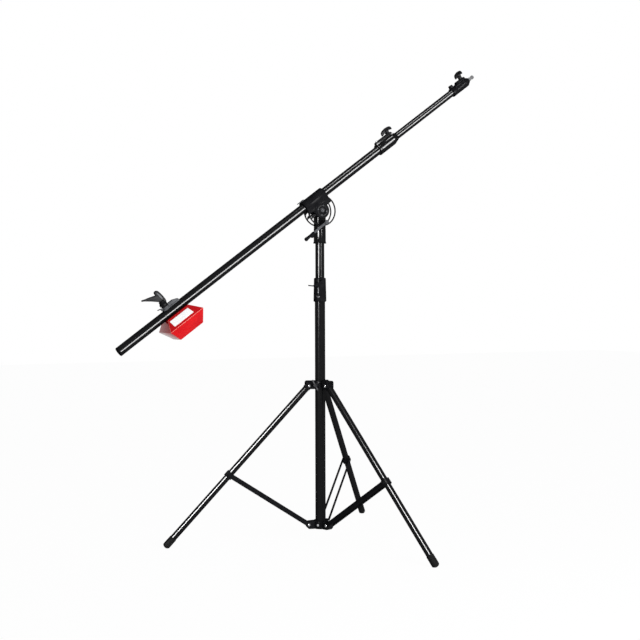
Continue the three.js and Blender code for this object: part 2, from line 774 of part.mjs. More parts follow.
function hubDisc() {
  const disc = ring(discRadius, pivotBoltRadius + seatGap, 0, discThickness, tubeSides);
  const screws = Array.from({ length: discScrews }, (_, index) => {
    const head = boltHead(screwRadius, screwRadius).translate(screwCircle, 0, discThickness - seatGap);
    return head.rotateZ((index + 1 / 2) * 2 * Math.PI / discScrews);
  });
  const flat = box(
    [-discRadius, -pivotHeadHeight, saddleFloor - seatGap],
    [discRadius, discThickness + screwRadius + cutOverrun, discRadius + cutOverrun],
  );
  return cut(onY(join(disc, ...screws)), flat);
}
const discFront = piece("hub_disc_front", hubDisc().rotateZ(Math.PI), "casting");
discFront.position.y = -plateOuter - seatGap;
const discBack = piece("hub_disc_back", hubDisc(), "casting");
discBack.position.y = plateOuter + seatGap;
cradle.add(discFront, discBack);

function saddle() {
  const shape = new THREE.Shape();
  shape.moveTo(-saddleOuter, saddleFloor);
  shape.lineTo(saddleOuter, saddleFloor);
  shape.lineTo(saddleOuter, boomRise);
  shape.absarc(0, boomRise, saddleOuter, 0, Math.PI, false);
  const bore = new THREE.Path();
  bore.absarc(0, boomRise, boomRadius + seatGap, 0, 2 * Math.PI, false);
  shape.holes.push(bore);
  const body = channel(shape, saddleRear, saddleFront, arcSteps);
  const screwHole = rod(lockScrewRadius + seatGap, boomRise, boomRise + saddleOuter + cutOverrun, bossSides);
  return cut(body, screwHole.translate(boomLockPlace, 0, 0));
}
cradle.add(piece("cradle_saddle", saddle(), "casting"));

// Boom clamp screw: a low thumb tab on top of the saddle's rear end
const tabReach = 27;
const tabHalfWidth = 7;
const tabThickness = 3;
function boomClampScrew() {
  const seat = saddleOuter + seatGap;
  const screw = rod(lockScrewRadius, boomRadius + seatGap, seat + tabThickness, bossSides);
  const hub = rod(tabHalfWidth, seat, seat + tabThickness, bossSides);
  const tab = box(
    [-tabReach, -tabHalfWidth / 2, seat + tabThickness / 4],
    [0, tabHalfWidth / 2, seat + tabThickness],
  );
  return join(screw, hub, tab);
}
const boomLock = groupAt("boom_lock_axis", boomLockPlace, 0, boomRise);
boomLock.add(piece("boom_clamp_screw", boomClampScrew(), "grey"));
cradle.add(boomLock);

// Boom tubes, along X on the boom's axis
const boom = groupAt("boom_axis", 0, 0, boomRise);
cradle.add(boom);
const tailCapFlange = 4;
const tailCapSpigot = 16;
const boomBore = boomRadius - boomWall;
boom.add(piece("boom_tube",
  onX(ring(boomRadius, boomBore, boomTail + tailCapFlange + seatGap, boomTubeFront, tubeSides)), "gloss"));
boom.add(piece("boom_tail_cap",
  onX(endPlug(boomRadius, boomBore, tailCapFlange, tailCapSpigot, tubeSides))
    .translate(boomTail + tailCapFlange, 0, 0), "plastic"));

// Extension collar with its raised boss, tapered towards the stud end
const exCollarRear = 363;
const exCollarFront = 468;
const exCollarRadius = 23;
const exCollarTaper = 23;
const exCollarNose = 16;
const exBossRear = 366;
const exBossFront = 462;
const exBossHalfWidth = 9;
const exBossTop = 31;
const exKnobPlace = 441;
const knobScrewRadius = 4;

function extensionCollar() {
  const bore = boomRadius + seatGap;
  const outline = [
    [bore, exCollarRear],
    [exCollarRadius - cutOverrun, exCollarRear],
    [exCollarRadius, exCollarRear + cutOverrun],
    [exCollarRadius, exCollarFront - exCollarTaper],
    [exCollarNose, exCollarFront],
    [extensionRadius + seatGap, exCollarFront],
    [extensionRadius + seatGap, boomTubeFront + seatGap],
    [bore, boomTubeFront + seatGap],
    [bore, exCollarRear],
  ];
  const shape = new THREE.Shape();
  shape.moveTo(exBossRear, boomRadius);
  shape.lineTo(exBossRear, exBossTop - exBossHalfWidth);
  shape.quadraticCurveTo(exBossRear, exBossTop, exBossRear + exBossHalfWidth, exBossTop);
  shape.lineTo(exBossFront - exBossHalfWidth, exBossTop);
  shape.lineTo(exBossFront, boomRadius);
  const boss = plate(shape, -exBossHalfWidth, exBossHalfWidth, smallArcSteps);
  const body = join(onX(revolve(outline, tubeSides)), boss);
  const bores = [
    onX(rod(bore, exCollarRear - cutOverrun, boomTubeFront + seatGap, tubeSides)),
    onX(rod(extensionRadius + seatGap, exCollarRear, exCollarFront + cutOverrun, tubeSides)),
    rod(knobScrewRadius + seatGap, 0, exBossTop + cutOverrun, bossSides).translate(exKnobPlace, 0, 0),
  ];
  return cut(body, ...bores);
}
boom.add(piece("extension_collar", extensionCollar(), "casting"));

// A wing knob along Z: a waisted hub with two swept wings over it
const knobHubRadius = 8.5;
const knobSpan = 30;
const knobArch = 21;
const knobTipHeight = 13;
const knobThickness = 8;
const knobWaistShare = 0.85;
const knobTipShare = 0.95;
const exKnobLift = 3;
const exKnobTurn = 8;

// The wings stand on the hub, lifted over the seat by how far the screw is out
function wingKnob(shankStart, seat, lift) {
  const root = seat + lift;
  const top = root + knobTipHeight;
  const shank = rod(knobScrewRadius, shankStart, top, bossSides);
  const hub = revolve([
    [0, seat],
    [knobHubRadius, seat],
    [knobHubRadius * knobWaistShare, root],
    [knobHubRadius, top],
    [0, top],
  ], bossSides);
  const tip = knobSpan * knobTipShare;
  const arch = root + knobArch;
  const wing = new THREE.Shape();
  wing.moveTo(0, root + lift);
  wing.quadraticCurveTo(knobHubRadius, root + knobTipHeight / 2, knobSpan / 2, root + knobTipHeight / 3);
  wing.lineTo(knobSpan, root);
  wing.lineTo(tip, top);
  wing.quadraticCurveTo(knobSpan / 2, arch, 0, arch);
  wing.quadraticCurveTo(-knobSpan / 2, arch, -tip, top);
  wing.lineTo(-knobSpan, root);
  wing.lineTo(-knobSpan / 2, root + knobTipHeight / 3);
  wing.quadraticCurveTo(-knobHubRadius, root + knobTipHeight / 2, 0, root + lift);
  return join(shank, hub, plate(wing, -knobThickness / 2, knobThickness / 2, smallArcSteps));
}
const extensionKnob = groupAt("extension_knob_axis", exKnobPlace, 0, 0);
const exKnob = wingKnob(boomRadius + seatGap, exBossTop + seatGap, exKnobLift);
extensionKnob.add(piece("extension_knob", exKnob.rotateZ(radians(exKnobTurn)), "plastic"));
boom.add(extensionKnob);

const extensionBore = extensionRadius - extensionWall;
boom.add(piece("extension_tube", onX(ring(
  extensionRadius, extensionBore, extensionRear, extensionFront, tubeSides,
)), "gloss"));
boom.add(piece("extension_guide_bush", onX(endPlug(
  boomBore - seatGap, extensionBore, plugFlangeHeight, plugSpigotLength, tubeSides,
)).translate(extensionRear, 0, 0), "plastic"));

// Head casting, ring nut, stud and its knob
const castingRear = 808;
const castingFront = 910;
const castingRadius = 19;
const castingNose = 11;
const castingNoseLength = 14;
const castingShoulder = 12;
const castingPadTop = 25;
const castingPadRear = 850;
const castingPadFront = 895;
const castingPadHalfWidth = 9;
const studKnobPlace = 880;
const studRadius = 8;
const studEnd = 940;
const studRear = 842;
const studGrooveRadius = 5.5;
const studGrooveRear = 922;
const studGrooveFront = 931;
const studChamfer = 1.5;
const studKnobLift = 11;
const studKnobTurn = 21;
const ribRadius = 10;
const ribCount = 3;
const ribPitch = 6;

function headCasting() {
  const bore = extensionRadius + seatGap;
  const outline = [
    [0, castingRear],
    [castingRadius - cutOverrun, castingRear],
    [castingRadius, castingRear + cutOverrun],
    [castingRadius, castingFront - castingNoseLength],
    [castingNose, castingFront],
    [0, castingFront],
  ];
  const shape = new THREE.Shape();
  shape.moveTo(castingPadRear - castingShoulder, castingRadius / 2);
  shape.lineTo(castingPadRear, castingPadTop);
  shape.lineTo(castingPadFront, castingPadTop);
  shape.lineTo(castingPadFront + castingShoulder / 2, castingRadius / 2);
  const pad = plate(shape, -castingPadHalfWidth, castingPadHalfWidth, smallArcSteps);
  return cut(
    join(onX(revolve(outline, tubeSides)), pad),
    onX(rod(bore, castingRear - cutOverrun, extensionFront + seatGap, tubeSides)),
    onX(rod(studRadius + seatGap, extensionFront, castingFront + cutOverrun, bossSides)),
    rod(knobScrewRadius + seatGap, 0, castingPadTop + cutOverrun, bossSides).translate(studKnobPlace, 0, 0),
  );
}
boom.add(piece("head_casting", headCasting(), "casting"));

function studSolid() {
  return onX(revolve([
    [0, studRear],
    [studRadius, studRear],
    [studRadius, studGrooveRear],
    [studGrooveRadius, studGrooveRear + studChamfer],
    [studGrooveRadius, studGrooveFront - studChamfer],
    [studRadius, studGrooveFront],
    [studRadius, studEnd - studChamfer],
    [studRadius - studChamfer, studEnd],
    [0, studEnd],
  ], bossSides));
}
boom.add(piece("stud", studSolid(), "steel"));

const studKnob = groupAt("stud_knob_axis", studKnobPlace, 0, 0);
const studWings = wingKnob(studRadius + seatGap, castingPadTop + seatGap, studKnobLift);
studKnob.add(piece("stud_knob", studWings.rotateZ(radians(studKnobTurn)), "plastic"));
boom.add(studKnob);

// Ribbed clamp nut over the rear of the casting, its ribs in a row across the tube
function ribbedNut() {
  const seat = castingRadius + seatGap;
  const pairs = [[0, seat], [ribRadius, seat]];
  for (let i = 0; i < ribCount; i += 1) {
    const low = seat + (i * ribPitch) / 2;
    pairs.push([ribRadius, low + ribPitch / 3], [ribRadius * rimShare, low + ribPitch / 2]);
  }
  pairs.push([0, seat + (ribCount * ribPitch) / 2]);
  return revolve(pairs, bossSides).translate(castingRear + ribRadius + cutOverrun, 0, 0);
}
boom.add(piece("casting_nut", ribbedNut(), "casting"));

// Counterweight: a faceted cast block hung under the boom by a yoke with a wing screw
const weightPlace = -712;
const weightTop = -13;
const weightRidge = -48.5;
const weightFloor = -97.5;
const weightTopHalfLength = 48;
const weightRidgeHalfLength = 77;
const weightFloorHalfLength = 53;
const weightTopHalfWidth = 28;
const weightRidgeHalfWidth = 64;
const weightFloorHalfWidth = 37.5;

// A rectangle's corners at one level of the block
function level(height, halfLength, halfWidth) {
  return [
    [-halfLength, -halfWidth, height],
    [halfLength, -halfWidth, height],
    [halfLength, halfWidth, height],
    [-halfLength, halfWidth, height],
  ];
}

// A closed body from rectangles stacked from bottom to top
function stacked(levels) {
  const positions = levels.flat(2);
  const last = 4 * (levels.length - 1);
  const index = [0, 2, 1, 0, 3, 2, last, last + 1, last + 2, last, last + 2, last + 3];
  for (let row = 0; row < levels.length - 1; row += 1) {
    for (let side = 0; side < 4; side += 1) {
      const low = 4 * row + side;
      const next = 4 * row + ((side + 1) % 4);
      index.push(low, next, next + 4, low, next + 4, low + 4);
    }
  }
  const geometry = new THREE.BufferGeometry();
  geometry.setAttribute("position", new THREE.Float32BufferAttribute(positions, 3));
  geometry.setIndex(index);
  return geometry;
}
const weight = groupAt("weight_seat", weightPlace, 0, 0);
boom.add(weight);

// The block, with a trough along its top that the boom tube lies in
function weightBlock() {
  const body = stacked([
    level(weightFloor, weightFloorHalfLength, weightFloorHalfWidth),
    level(weightRidge, weightRidgeHalfLength, weightRidgeHalfWidth),
    level(weightTop, weightTopHalfLength, weightTopHalfWidth),
  ]);
  return cut(body, onX(rod(boomRadius + seatGap, -weightRidgeHalfLength, weightRidgeHalfLength, tubeSides)));
}
weight.add(piece("counterweight_block", weightBlock(), "red"));

// Yoke: a hook that stands on the block behind the boom tube and folds over it, a rib along its top
const yokeRear = -34;
const yokeFront = 37;
const yokeOuter = 22.5;
const yokeLip = 118;
const yokeBossRadius = 12;
const yokeBossTop = 28;
const yokeScrewPlace = -20.5;
const yokeRibHalfWidth = 8;
const yokeRibTop = 32;
const yokeRibNose = 24;
const yokeRibSlope = 20;

function yoke() {
  const inner = boomRadius + seatGap;
  const foot = weightTop + seatGap;
  const shape = new THREE.Shape();
  shape.moveTo(0, 0);
  shape.lineTo(0, foot);
  shape.lineTo(yokeOuter, foot);
  shape.lineTo(yokeOuter, 0);
  shape.absarc(0, 0, yokeOuter, 0, radians(yokeLip), false);
  const ribRoot = yokeScrewPlace + yokeBossRadius / 2;
  const ribRear = yokeScrewPlace + yokeBossRadius + seatGap;
  const rib = new THREE.Shape();
  rib.moveTo(ribRoot, boomRadius + cutOverrun);
  rib.lineTo(ribRoot, yokeRibNose);
  rib.lineTo(ribRear, yokeRibNose);
  rib.lineTo(ribRear, yokeRibTop);
  rib.lineTo(yokeFront - yokeRibSlope, yokeRibTop);
  rib.lineTo(yokeFront, yokeRibNose);
  rib.lineTo(yokeFront, boomRadius + cutOverrun);
  const boss = rod(yokeBossRadius, boomRadius + cutOverrun, yokeBossTop, bossSides);
  const body = join(
    channel(shape, yokeRear, yokeFront, arcSteps),
    plate(rib, -yokeRibHalfWidth, yokeRibHalfWidth, smallArcSteps),
    boss.translate(yokeScrewPlace, 0, 0),
  );
  const hole = rod(knobScrewRadius + seatGap, 0, yokeBossTop + cutOverrun, bossSides);
  const bore = onX(rod(inner, yokeRear - cutOverrun, yokeFront + cutOverrun, tubeSides));
  return cut(body, hole.translate(yokeScrewPlace, 0, 0), bore);
}
weight.add(piece("counterweight_yoke", yoke(), "grey"));

// Wing screw of the counterweight: a long blade rising towards the tail and a tall loop beside it
const screwHubRadius = 12;
const screwWaistRadius = 8.5;
const screwHubHeight = 24;
const bladeReach = 59;
const bladeRootLow = 22;
const bladeRootHigh = 53;
const bladeTipLow = 63;
const bladeTipHigh = 69;
const bladeThickness = 9;
const loopHeight = 67;
const loopReach = 19;
const loopLean = 6;
const loopFoot = 9;
const loopCorner = 10;
const eyeAcross = 6.5;
const eyeHeight = 42;
const eyeHalfWidth = 4;
const eyeHalfLength = 17;
const eyeTilt = 12;

function weightScrew() {
  const seat = yokeBossTop + seatGap;
  const shank = rod(knobScrewRadius, boomRadius + seatGap, seat + screwHubHeight, bossSides);
  const hub = revolve([
    [0, seat],
    [screwHubRadius, seat],
    [screwWaistRadius, seat + screwHubHeight / 2],
    [screwWaistRadius, seat + screwHubHeight],
    [0, seat + screwHubHeight],
  ], bossSides);
  const blade = new THREE.Shape();
  blade.moveTo(0, seat + bladeRootLow);
  blade.lineTo(-bladeReach, seat + bladeTipLow);
  blade.quadraticCurveTo(-bladeReach - cutOverrun, seat + bladeTipHigh, -bladeReach, seat + bladeTipHigh);
  blade.lineTo(0, seat + bladeRootHigh);
  const top = seat + loopHeight;
  const loop = new THREE.Shape();
  loop.moveTo(0, seat + loopFoot);
  loop.lineTo(-loopLean, top - loopCorner);
  loop.quadraticCurveTo(-loopLean, top, loopCorner - loopLean, top);
  loop.quadraticCurveTo(loopReach - loopLean, top, loopReach - loopLean / 2, top - 2 * loopCorner);
  loop.lineTo(loopReach, seat + loopFoot + loopCorner);
  loop.quadraticCurveTo(loopReach, seat + loopFoot, loopReach - loopCorner, seat + loopFoot);
  const eye = new THREE.Path();
  eye.absellipse(
    eyeAcross, seat + eyeHeight, eyeHalfWidth, eyeHalfLength, 0, 2 * Math.PI, false, radians(eyeTilt),
  );
  loop.holes.push(eye);
  const half = bladeThickness / 2;
  return join(shank, hub, plate(blade, -half, half, smallArcSteps), plate(loop, -half, half, smallArcSteps));
}
const weightLock = groupAt("weight_lock_axis", yokeScrewPlace, 0, 0);
weightLock.add(piece("counterweight_screw", weightScrew(), "plastic"));
weight.add(weightLock);

// The origin: under the middle of the whole object, on the floor
boomArm.updateMatrixWorld(true);
const reach = new THREE.Box3().setFromObject(boomArm, true);
const middle = reach.getCenter(new THREE.Vector3());
boomArm.position.set(-middle.x, -middle.y, -reach.min.z);

export default boomArm;
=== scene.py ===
import json
import math

import bpy
from mathutils import Matrix, Vector


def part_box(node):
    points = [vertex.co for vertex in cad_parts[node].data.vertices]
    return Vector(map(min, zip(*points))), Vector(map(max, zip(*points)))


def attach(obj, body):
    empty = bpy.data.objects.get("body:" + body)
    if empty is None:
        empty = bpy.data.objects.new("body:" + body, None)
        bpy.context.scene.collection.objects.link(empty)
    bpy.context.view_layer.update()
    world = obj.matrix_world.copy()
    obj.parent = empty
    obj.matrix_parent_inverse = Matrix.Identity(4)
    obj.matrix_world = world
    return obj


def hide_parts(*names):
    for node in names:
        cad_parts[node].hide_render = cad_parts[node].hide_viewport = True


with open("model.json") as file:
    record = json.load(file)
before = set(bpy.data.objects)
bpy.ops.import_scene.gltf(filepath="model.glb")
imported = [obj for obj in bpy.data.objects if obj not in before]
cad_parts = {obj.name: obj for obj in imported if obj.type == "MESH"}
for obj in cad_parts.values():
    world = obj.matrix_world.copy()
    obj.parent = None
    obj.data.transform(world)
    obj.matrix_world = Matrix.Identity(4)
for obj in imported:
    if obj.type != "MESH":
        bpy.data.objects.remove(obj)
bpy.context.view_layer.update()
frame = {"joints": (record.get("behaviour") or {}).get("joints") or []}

# The photograph's view: a long lens a little over waist height, four metres from the
# stand's column and turned towards the tail end of the boom. The column's foot, which
# every upright piece is centred on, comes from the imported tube.


def linked(name, data):
    """A new object for the data, linked into the scene."""
    made = bpy.data.objects.new(name, data)
    bpy.context.scene.collection.objects.link(made)
    return made


column_low, column_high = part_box("column_lower_tube")
column_foot = Vector(((column_low.x + column_high.x) / 2, (column_low.y + column_high.y) / 2, 0))
camera_data = bpy.data.cameras.new("camera")
camera_data.sensor_width = 36
camera_data.lens = 60.15
camera_data.clip_end = 60
camera = linked("camera", camera_data)
camera.location = column_foot + Vector((-1.952, -3.678, 0.893))
camera.rotation_euler = [math.radians(angle) for angle in (89.546, 0.167, -27.958)]
bpy.context.scene.camera = camera

# A white studio: a pale floor that keeps the stand's shadow, a white sweep seen by the
# camera and by gloss, one soft lamp for colour, and strip lamps that only gloss sees,
# which draw the long streaks down the tubes.


def wired(tree, kind, sockets, operation=None):
    """A shader node whose sockets each take a value, or the output of another node."""
    made = tree.nodes.new("ShaderNode" + kind)
    if operation:
        made.operation = operation
    for socket, value in sockets.items():
        if isinstance(value, bpy.types.NodeSocket):
            tree.links.new(value, made.inputs[socket])
        else:
            made.inputs[socket].default_value = value
    return made


world = bpy.data.worlds.new("studio")
bpy.context.scene.world = world
world.use_nodes = True
tree = world.node_tree
tree.nodes.clear()
path = wired(tree, "LightPath", {})
seen = wired(tree, "Math", {0: path.outputs["Is Camera Ray"], 1: path.outputs["Is Glossy Ray"]}, "MAXIMUM")
seen_through = wired(tree, "Math", {0: seen.outputs[0], 1: path.outputs["Is Transmission Ray"]}, "MAXIMUM")
sweep = wired(tree, "Background", {"Color": (1, 1, 1, 1), "Strength": 1})
room = wired(tree, "Background", {"Color": (0.95, 0.97, 1, 1), "Strength": 0.42})
both = wired(tree, "MixShader", {0: seen_through.outputs[0], 1: room.outputs[0], 2: sweep.outputs[0]})
wired(tree, "OutputWorld", {0: both.outputs[0]})

bpy.ops.object.select_all(action="DESELECT")
bpy.ops.mesh.primitive_plane_add(size=30, location=(0, 0, -0.0005))
floor = bpy.context.object
floor.name = "floor"
bpy.ops.object.transform_apply(location=True, rotation=True, scale=True)
floor_paint = bpy.data.materials.new("floor_paint")
floor_paint.use_nodes = True
tree = floor_paint.node_tree
tree.nodes.clear()
path = wired(tree, "LightPath", {})
seen = wired(tree, "Math", {0: path.outputs["Is Camera Ray"], 1: path.outputs["Is Glossy Ray"]}, "MAXIMUM")
share = wired(tree, "Math", {0: seen.outputs[0], 1: 0.97}, "MULTIPLY")
paper = wired(tree, "BsdfDiffuse", {"Color": (0.93, 0.93, 0.93, 1)})
glow = wired(tree, "Emission", {"Color": (1, 1, 1, 1), "Strength": 1})
both = wired(tree, "MixShader", {0: share.outputs[0], 1: paper.outputs[0], 2: glow.outputs[0]})
wired(tree, "OutputMaterial", {0: both.outputs[0]})
floor.data.materials.append(floor_paint)

view_right = Vector((0.8833, -0.4688, 0))
view_back = Vector((-0.4688, -0.8833, 0))


def lamp(name, ends, width, power):
    """An area lamp between two ends, each so far right of the stand, towards the camera and up."""
    low, high = [
        column_foot + view_right * right + view_back * back + Vector((0, 0, up)) for right, back, up in ends
    ]
    along = (high - low).normalized()
    across = along.cross((low + high) / 2 - boom_middle).normalized()
    data = bpy.data.lights.new(name, "AREA")
    data.shape = "RECTANGLE"
    data.size = width
    data.size_y = (high - low).length
    data.energy = power
    made = linked(name, data)
    turn = Matrix((across, along, across.cross(along))).transposed().to_4x4()
    made.matrix_world = Matrix.Translation((low + high) / 2) @ turn
    return made


boom_middle = column_foot + Vector((0, 0, 1.25))
boom_strip = lamp("boom_strip", [(1.20, 2.66, 0.50), (3.30, 0.95, 2.60)], 1.0, 1300)
top_strip = lamp("top_strip", [(0.15, 1.10, 4.10), (1.35, 0.75, 4.55)], 0.35, 190)
column_strip = lamp("column_strip", [(-1.80, 2.68, 1.10), (-0.90, 2.50, 2.10)], 0.50, 620)
side_strip = lamp("side_strip", [(1.78, 2.40, 1.22), (1.78, 2.40, 1.75)], 0.12, 70)
saddle_strip = lamp("saddle_strip", [(1.90, 1.97, 1.52), (2.50, 1.55, 2.12)], 0.18, 220)
left_leg_strip = lamp("left_leg_strip", [(-1.75, 2.66, 1.10), (-0.95, 2.51, 2.00)], 0.90, 1250)
front_leg_strip = lamp("front_leg_strip", [(-0.10, 2.50, 2.10), (-0.50, 2.00, 2.65)], 0.80, 560)
soft_lamp = lamp("soft_lamp", [(1.9, 2.6, -0.2), (2.1, 2.9, 2.0)], 2.2, 170)
soft_lamp.visible_glossy = False
bpy.context.scene.view_settings.view_transform = "Standard"


# Lower column: a 40 mm drawn steel tube in gloss black enamel, clamped in the spreader hub
# at its foot and closed there by a pressed-in plastic plug. Its rim is turned in a little.


def turned(name, pairs, sides=72, loop=False):
    """A round piece about Z: a ring drawn out and scaled from (radius, height) to the next."""
    bpy.ops.object.select_all(action="DESELECT")
    radius, height = pairs[0]
    bpy.ops.mesh.primitive_circle_add(
        vertices=sides, radius=radius, fill_type="NOTHING", location=(0, 0, height)
    )
    piece = bpy.context.object
    piece.name = name
    piece.data.name = name
    bpy.ops.object.transform_apply(location=True, rotation=True, scale=True)
    bpy.ops.object.mode_set(mode="EDIT")
    bpy.ops.mesh.select_all(action="SELECT")
    for next_radius, next_height in pairs[1:]:
        bpy.ops.mesh.extrude_region_move(
            TRANSFORM_OT_translate={"value": (0, 0, next_height - height)}
        )
        spread = next_radius / radius
        bpy.ops.transform.resize(value=(spread, spread, 1), center_override=(0, 0, next_height))
        radius, height = next_radius, next_height
    bpy.ops.mesh.select_all(action="SELECT")
    bpy.ops.mesh.remove_doubles(threshold=1e-6)
    if not loop:
        bpy.ops.mesh.fill_holes(sides=0)
    bpy.ops.mesh.select_all(action="SELECT")
    bpy.ops.mesh.normals_make_consistent(inside=False)
    bpy.ops.object.mode_set(mode="OBJECT")
    return piece


def solid(name, pairs, sides=72, tip=0.0005):
    """A round piece that closes on its own axis at both ends."""
    return turned(name, [(tip, pairs[0][1]), *pairs, (tip, pairs[-1][1])], sides)


def ring(name, pairs, sides=72):
    """A round piece that is open through its middle."""
    return turned(name, [*pairs, pairs[0]], sides, loop=True)


def pick(piece):
    """Selects the piece alone and makes it the active one."""
    bpy.ops.object.select_all(action="DESELECT")
    bpy.context.view_layer.objects.active = piece
    piece.select_set(True)


def shift(x, y=0, z=0):
    """A place moved off by so much."""
    return Matrix.Translation((x, y, z))


def spin(degrees, axis):
    """A turn about an axis."""
    return Matrix.Rotation(math.radians(degrees), 4, axis)


def placed(piece, where):
    """Sets the piece in its place and turns that place into its mesh."""
    pick(piece)
    piece.matrix_world = where
    bpy.ops.object.transform_apply(location=True, rotation=True, scale=True)
    return piece


def eased(piece, width=0.0006, angle=32, segments=2):
    """Rounds the sharp edges by a bevel and shades the rest smooth."""
    pick(piece)
    if width:
        bevel = piece.modifiers.new("eased", "BEVEL")
        bevel.width = width
        bevel.segments = segments
        bevel.limit_method = "ANGLE"
        bevel.angle_limit = math.radians(angle)
        bpy.ops.object.modifier_apply(modifier=bevel.name)
    bpy.ops.object.shade_smooth_by_angle(angle=math.radians(40))
    return piece


def upright(height=0, azimuth=0):
    """A place on the column's axis, its X turned to an azimuth."""
    return Matrix.Translation(column_foot + Vector((0, 0, height))) @ spin(azimuth, "Z")


def surface(name, colour, fleck, rough, rough_spread, scale, bump, shine=0.01, metallic=0):
    """A finish: a base colour that wanders to its fleck, a patchy roughness and a fine relief,
    and an even share of gloss over it that stays the same at the edges."""
    made = bpy.data.materials.new(name)
    made.use_nodes = True
    tree = made.node_tree
    place = wired(tree, "TexCoord", {}).outputs["Object"]
    patches = wired(tree, "TexNoise", {"Vector": place, "Scale": scale / 12, "Detail": 4})
    grain = wired(tree, "TexNoise", {"Vector": place, "Scale": scale, "Detail": 3}).outputs["Fac"]
    tint = wired(tree, "ValToRGB", {"Fac": patches.outputs["Fac"]})
    tint.color_ramp.elements[0].position = 0.35
    tint.color_ramp.elements[0].color = (*colour, 1)
    tint.color_ramp.elements[1].position = 0.72
    tint.color_ramp.elements[1].color = (*fleck, 1)
    gloss = wired(tree, "MapRange", {
        "Value": grain, "From Min": 0.3, "From Max": 0.7, "To Min": rough, "To Max": rough + rough_spread,
    }).outputs["Result"]
    relief = wired(tree, "Bump", {"Strength": bump, "Distance": 0.0004, "Height": grain}).outputs["Normal"]
    shader = tree.nodes["Principled BSDF"]
    shader.inputs["Metallic"].default_value = metallic
    shader.inputs["Specular IOR Level"].default_value = 0
    tree.links.new(tint.outputs["Color"], shader.inputs["Base Color"])
    tree.links.new(gloss, shader.inputs["Roughness"])
    tree.links.new(relief, shader.inputs["Normal"])
    sheen = wired(tree, "BsdfAnisotropic", {"Roughness": gloss, "Normal": relief})
    layers = wired(tree, "MixShader", {"Fac": shine, 1: shader.outputs["BSDF"], 2: sheen.outputs["BSDF"]})
    tree.links.new(layers.outputs["Shader"], tree.nodes["Material Output"].inputs["Surface"])
    return made


riders = {}


def keep(piece, paint, body, slot, *stands_for):
    """Paints a finished piece, lets it ride on its body and hides the nodes it stands for."""
    piece.data.materials.clear()
    piece.data.materials.append(paint)
    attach(piece, body)
    riders.setdefault(body, []).append(piece)
    if stands_for:
        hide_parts(*stands_for)
    return piece


enamel = surface("black_enamel", (0.003, 0.003, 0.0035), (0.005, 0.005, 0.0055),
                 0.15, 0.04, 120, 0.001, 0.008)
moulding = surface("black_moulding", (0.005, 0.005, 0.006), (0.009, 0.009, 0.010),
                   0.34, 0.14, 900, 0.06, 0.0015)


def tube(name, radius, wall, low, high, rim=0.0006):
    """A drawn tube along Z, open at both ends, its rims rounded."""
    inner = radius - wall
    return ring(name, [
        (inner, low + rim), (inner + rim, low), (radius - rim, low), (radius, low + rim),
        (radius, high - rim), (radius - rim, high), (inner + rim, high), (inner, high - rim),
    ])


lower_tube = placed(tube("lower_column_tube", 0.020, 0.0015, 0.053, 0.990), upright())
thin_wall = 0.0012
keep(eased(lower_tube, 0), enamel, "column_base", "black_tube", "column_lower_tube")

foot_plug = ring("lower_column_plug", [
    (0.0150, 0.0490), (0.0190, 0.0490), (0.0200, 0.0500), (0.0200, 0.0524), (0.0182, 0.0524),
    (0.0182, 0.0740), (0.0176, 0.0750), (0.0150, 0.0750), (0.0150, 0.0530),
])
keep(eased(placed(foot_plug, upright()), 0.0003), moulding, "column_base", "black_plastic",
     "column_foot_plug")

# Spreader hub: an aluminium casting in satin black powder coat, pushed on the foot of the
# column and drawn tight by one hexagon bolt. Each of its three lugs carries a pair of braces.


def outlined(name, outline, holes, low, high, rim=0.0006):
    """A flat piece drawn as an outline with holes, with thickness along Z and rounded rims."""
    curve = bpy.data.curves.new(name, "CURVE")
    curve.dimensions = "2D"
    curve.fill_mode = "BOTH"
    for line in [outline, *holes]:
        spline = curve.splines.new("POLY")
        spline.points.add(len(line) - 1)
        for point, (across, along) in zip(spline.points, line):
            point.co = (across, along, 0, 1)
        spline.use_cyclic_u = True
    curve.extrude = (high - low) / 2 - rim
    curve.bevel_depth = rim
    curve.bevel_resolution = 1
    curve.offset = -rim
    pick(linked(name, curve))
    bpy.ops.object.convert(target="MESH")
    piece = bpy.context.object
    piece.name = name
    piece.data.name = name
    bpy.ops.object.mode_set(mode="EDIT")
    bpy.ops.mesh.select_all(action="SELECT")
    bpy.ops.mesh.remove_doubles(threshold=1e-6)
    bpy.ops.mesh.normals_make_consistent(inside=False)
    bpy.ops.object.mode_set(mode="OBJECT")
    return placed(piece, shift(0, 0, (low + high) / 2))


def arc(across, along, radius, start, end, steps):
    """Points round a centre, from one angle to another."""
    angles = [math.radians(start + (end - start) * i / steps) for i in range(steps + 1)]
    return [(across + radius * math.cos(a), along + radius * math.sin(a)) for a in angles]


def bore(across, along, radius, points=24):
    """A hole's outline, drawn backwards round its centre."""
    return arc(across, along, radius, 0, 360 / points - 360, points - 1)


def raised(seat, pairs):
    """The same points, each lifted by the height of their seat."""
    return [(across, seat + rise) for across, rise in pairs]


def joined(piece, others, operation="UNION"):
    """Joins pieces to the first, or cuts them out of it, and clears the pieces away."""
    for other in others:
        pick(piece)
        knife = piece.modifiers.new("shape", "BOOLEAN")
        knife.operation = operation
        knife.solver = "EXACT"
        knife.object = other
        bpy.ops.object.modifier_apply(modifier=knife.name)
        bpy.data.objects.remove(other)
    return piece


def hole(radius, low, high, where, sides=32):
    """A round cutter along Z, set in its place."""
    return placed(turned("hole", [(radius, low), (radius, high)], sides), where)


def sawn(point, normal, **away):
    """Cuts the active piece along a plane, clears one side away and closes the cut."""
    bpy.ops.object.mode_set(mode="EDIT")
    bpy.ops.mesh.select_all(action="SELECT")
    bpy.ops.mesh.bisect(plane_co=point, plane_no=normal, use_fill=True, **away)
    bpy.ops.object.mode_set(mode="OBJECT")


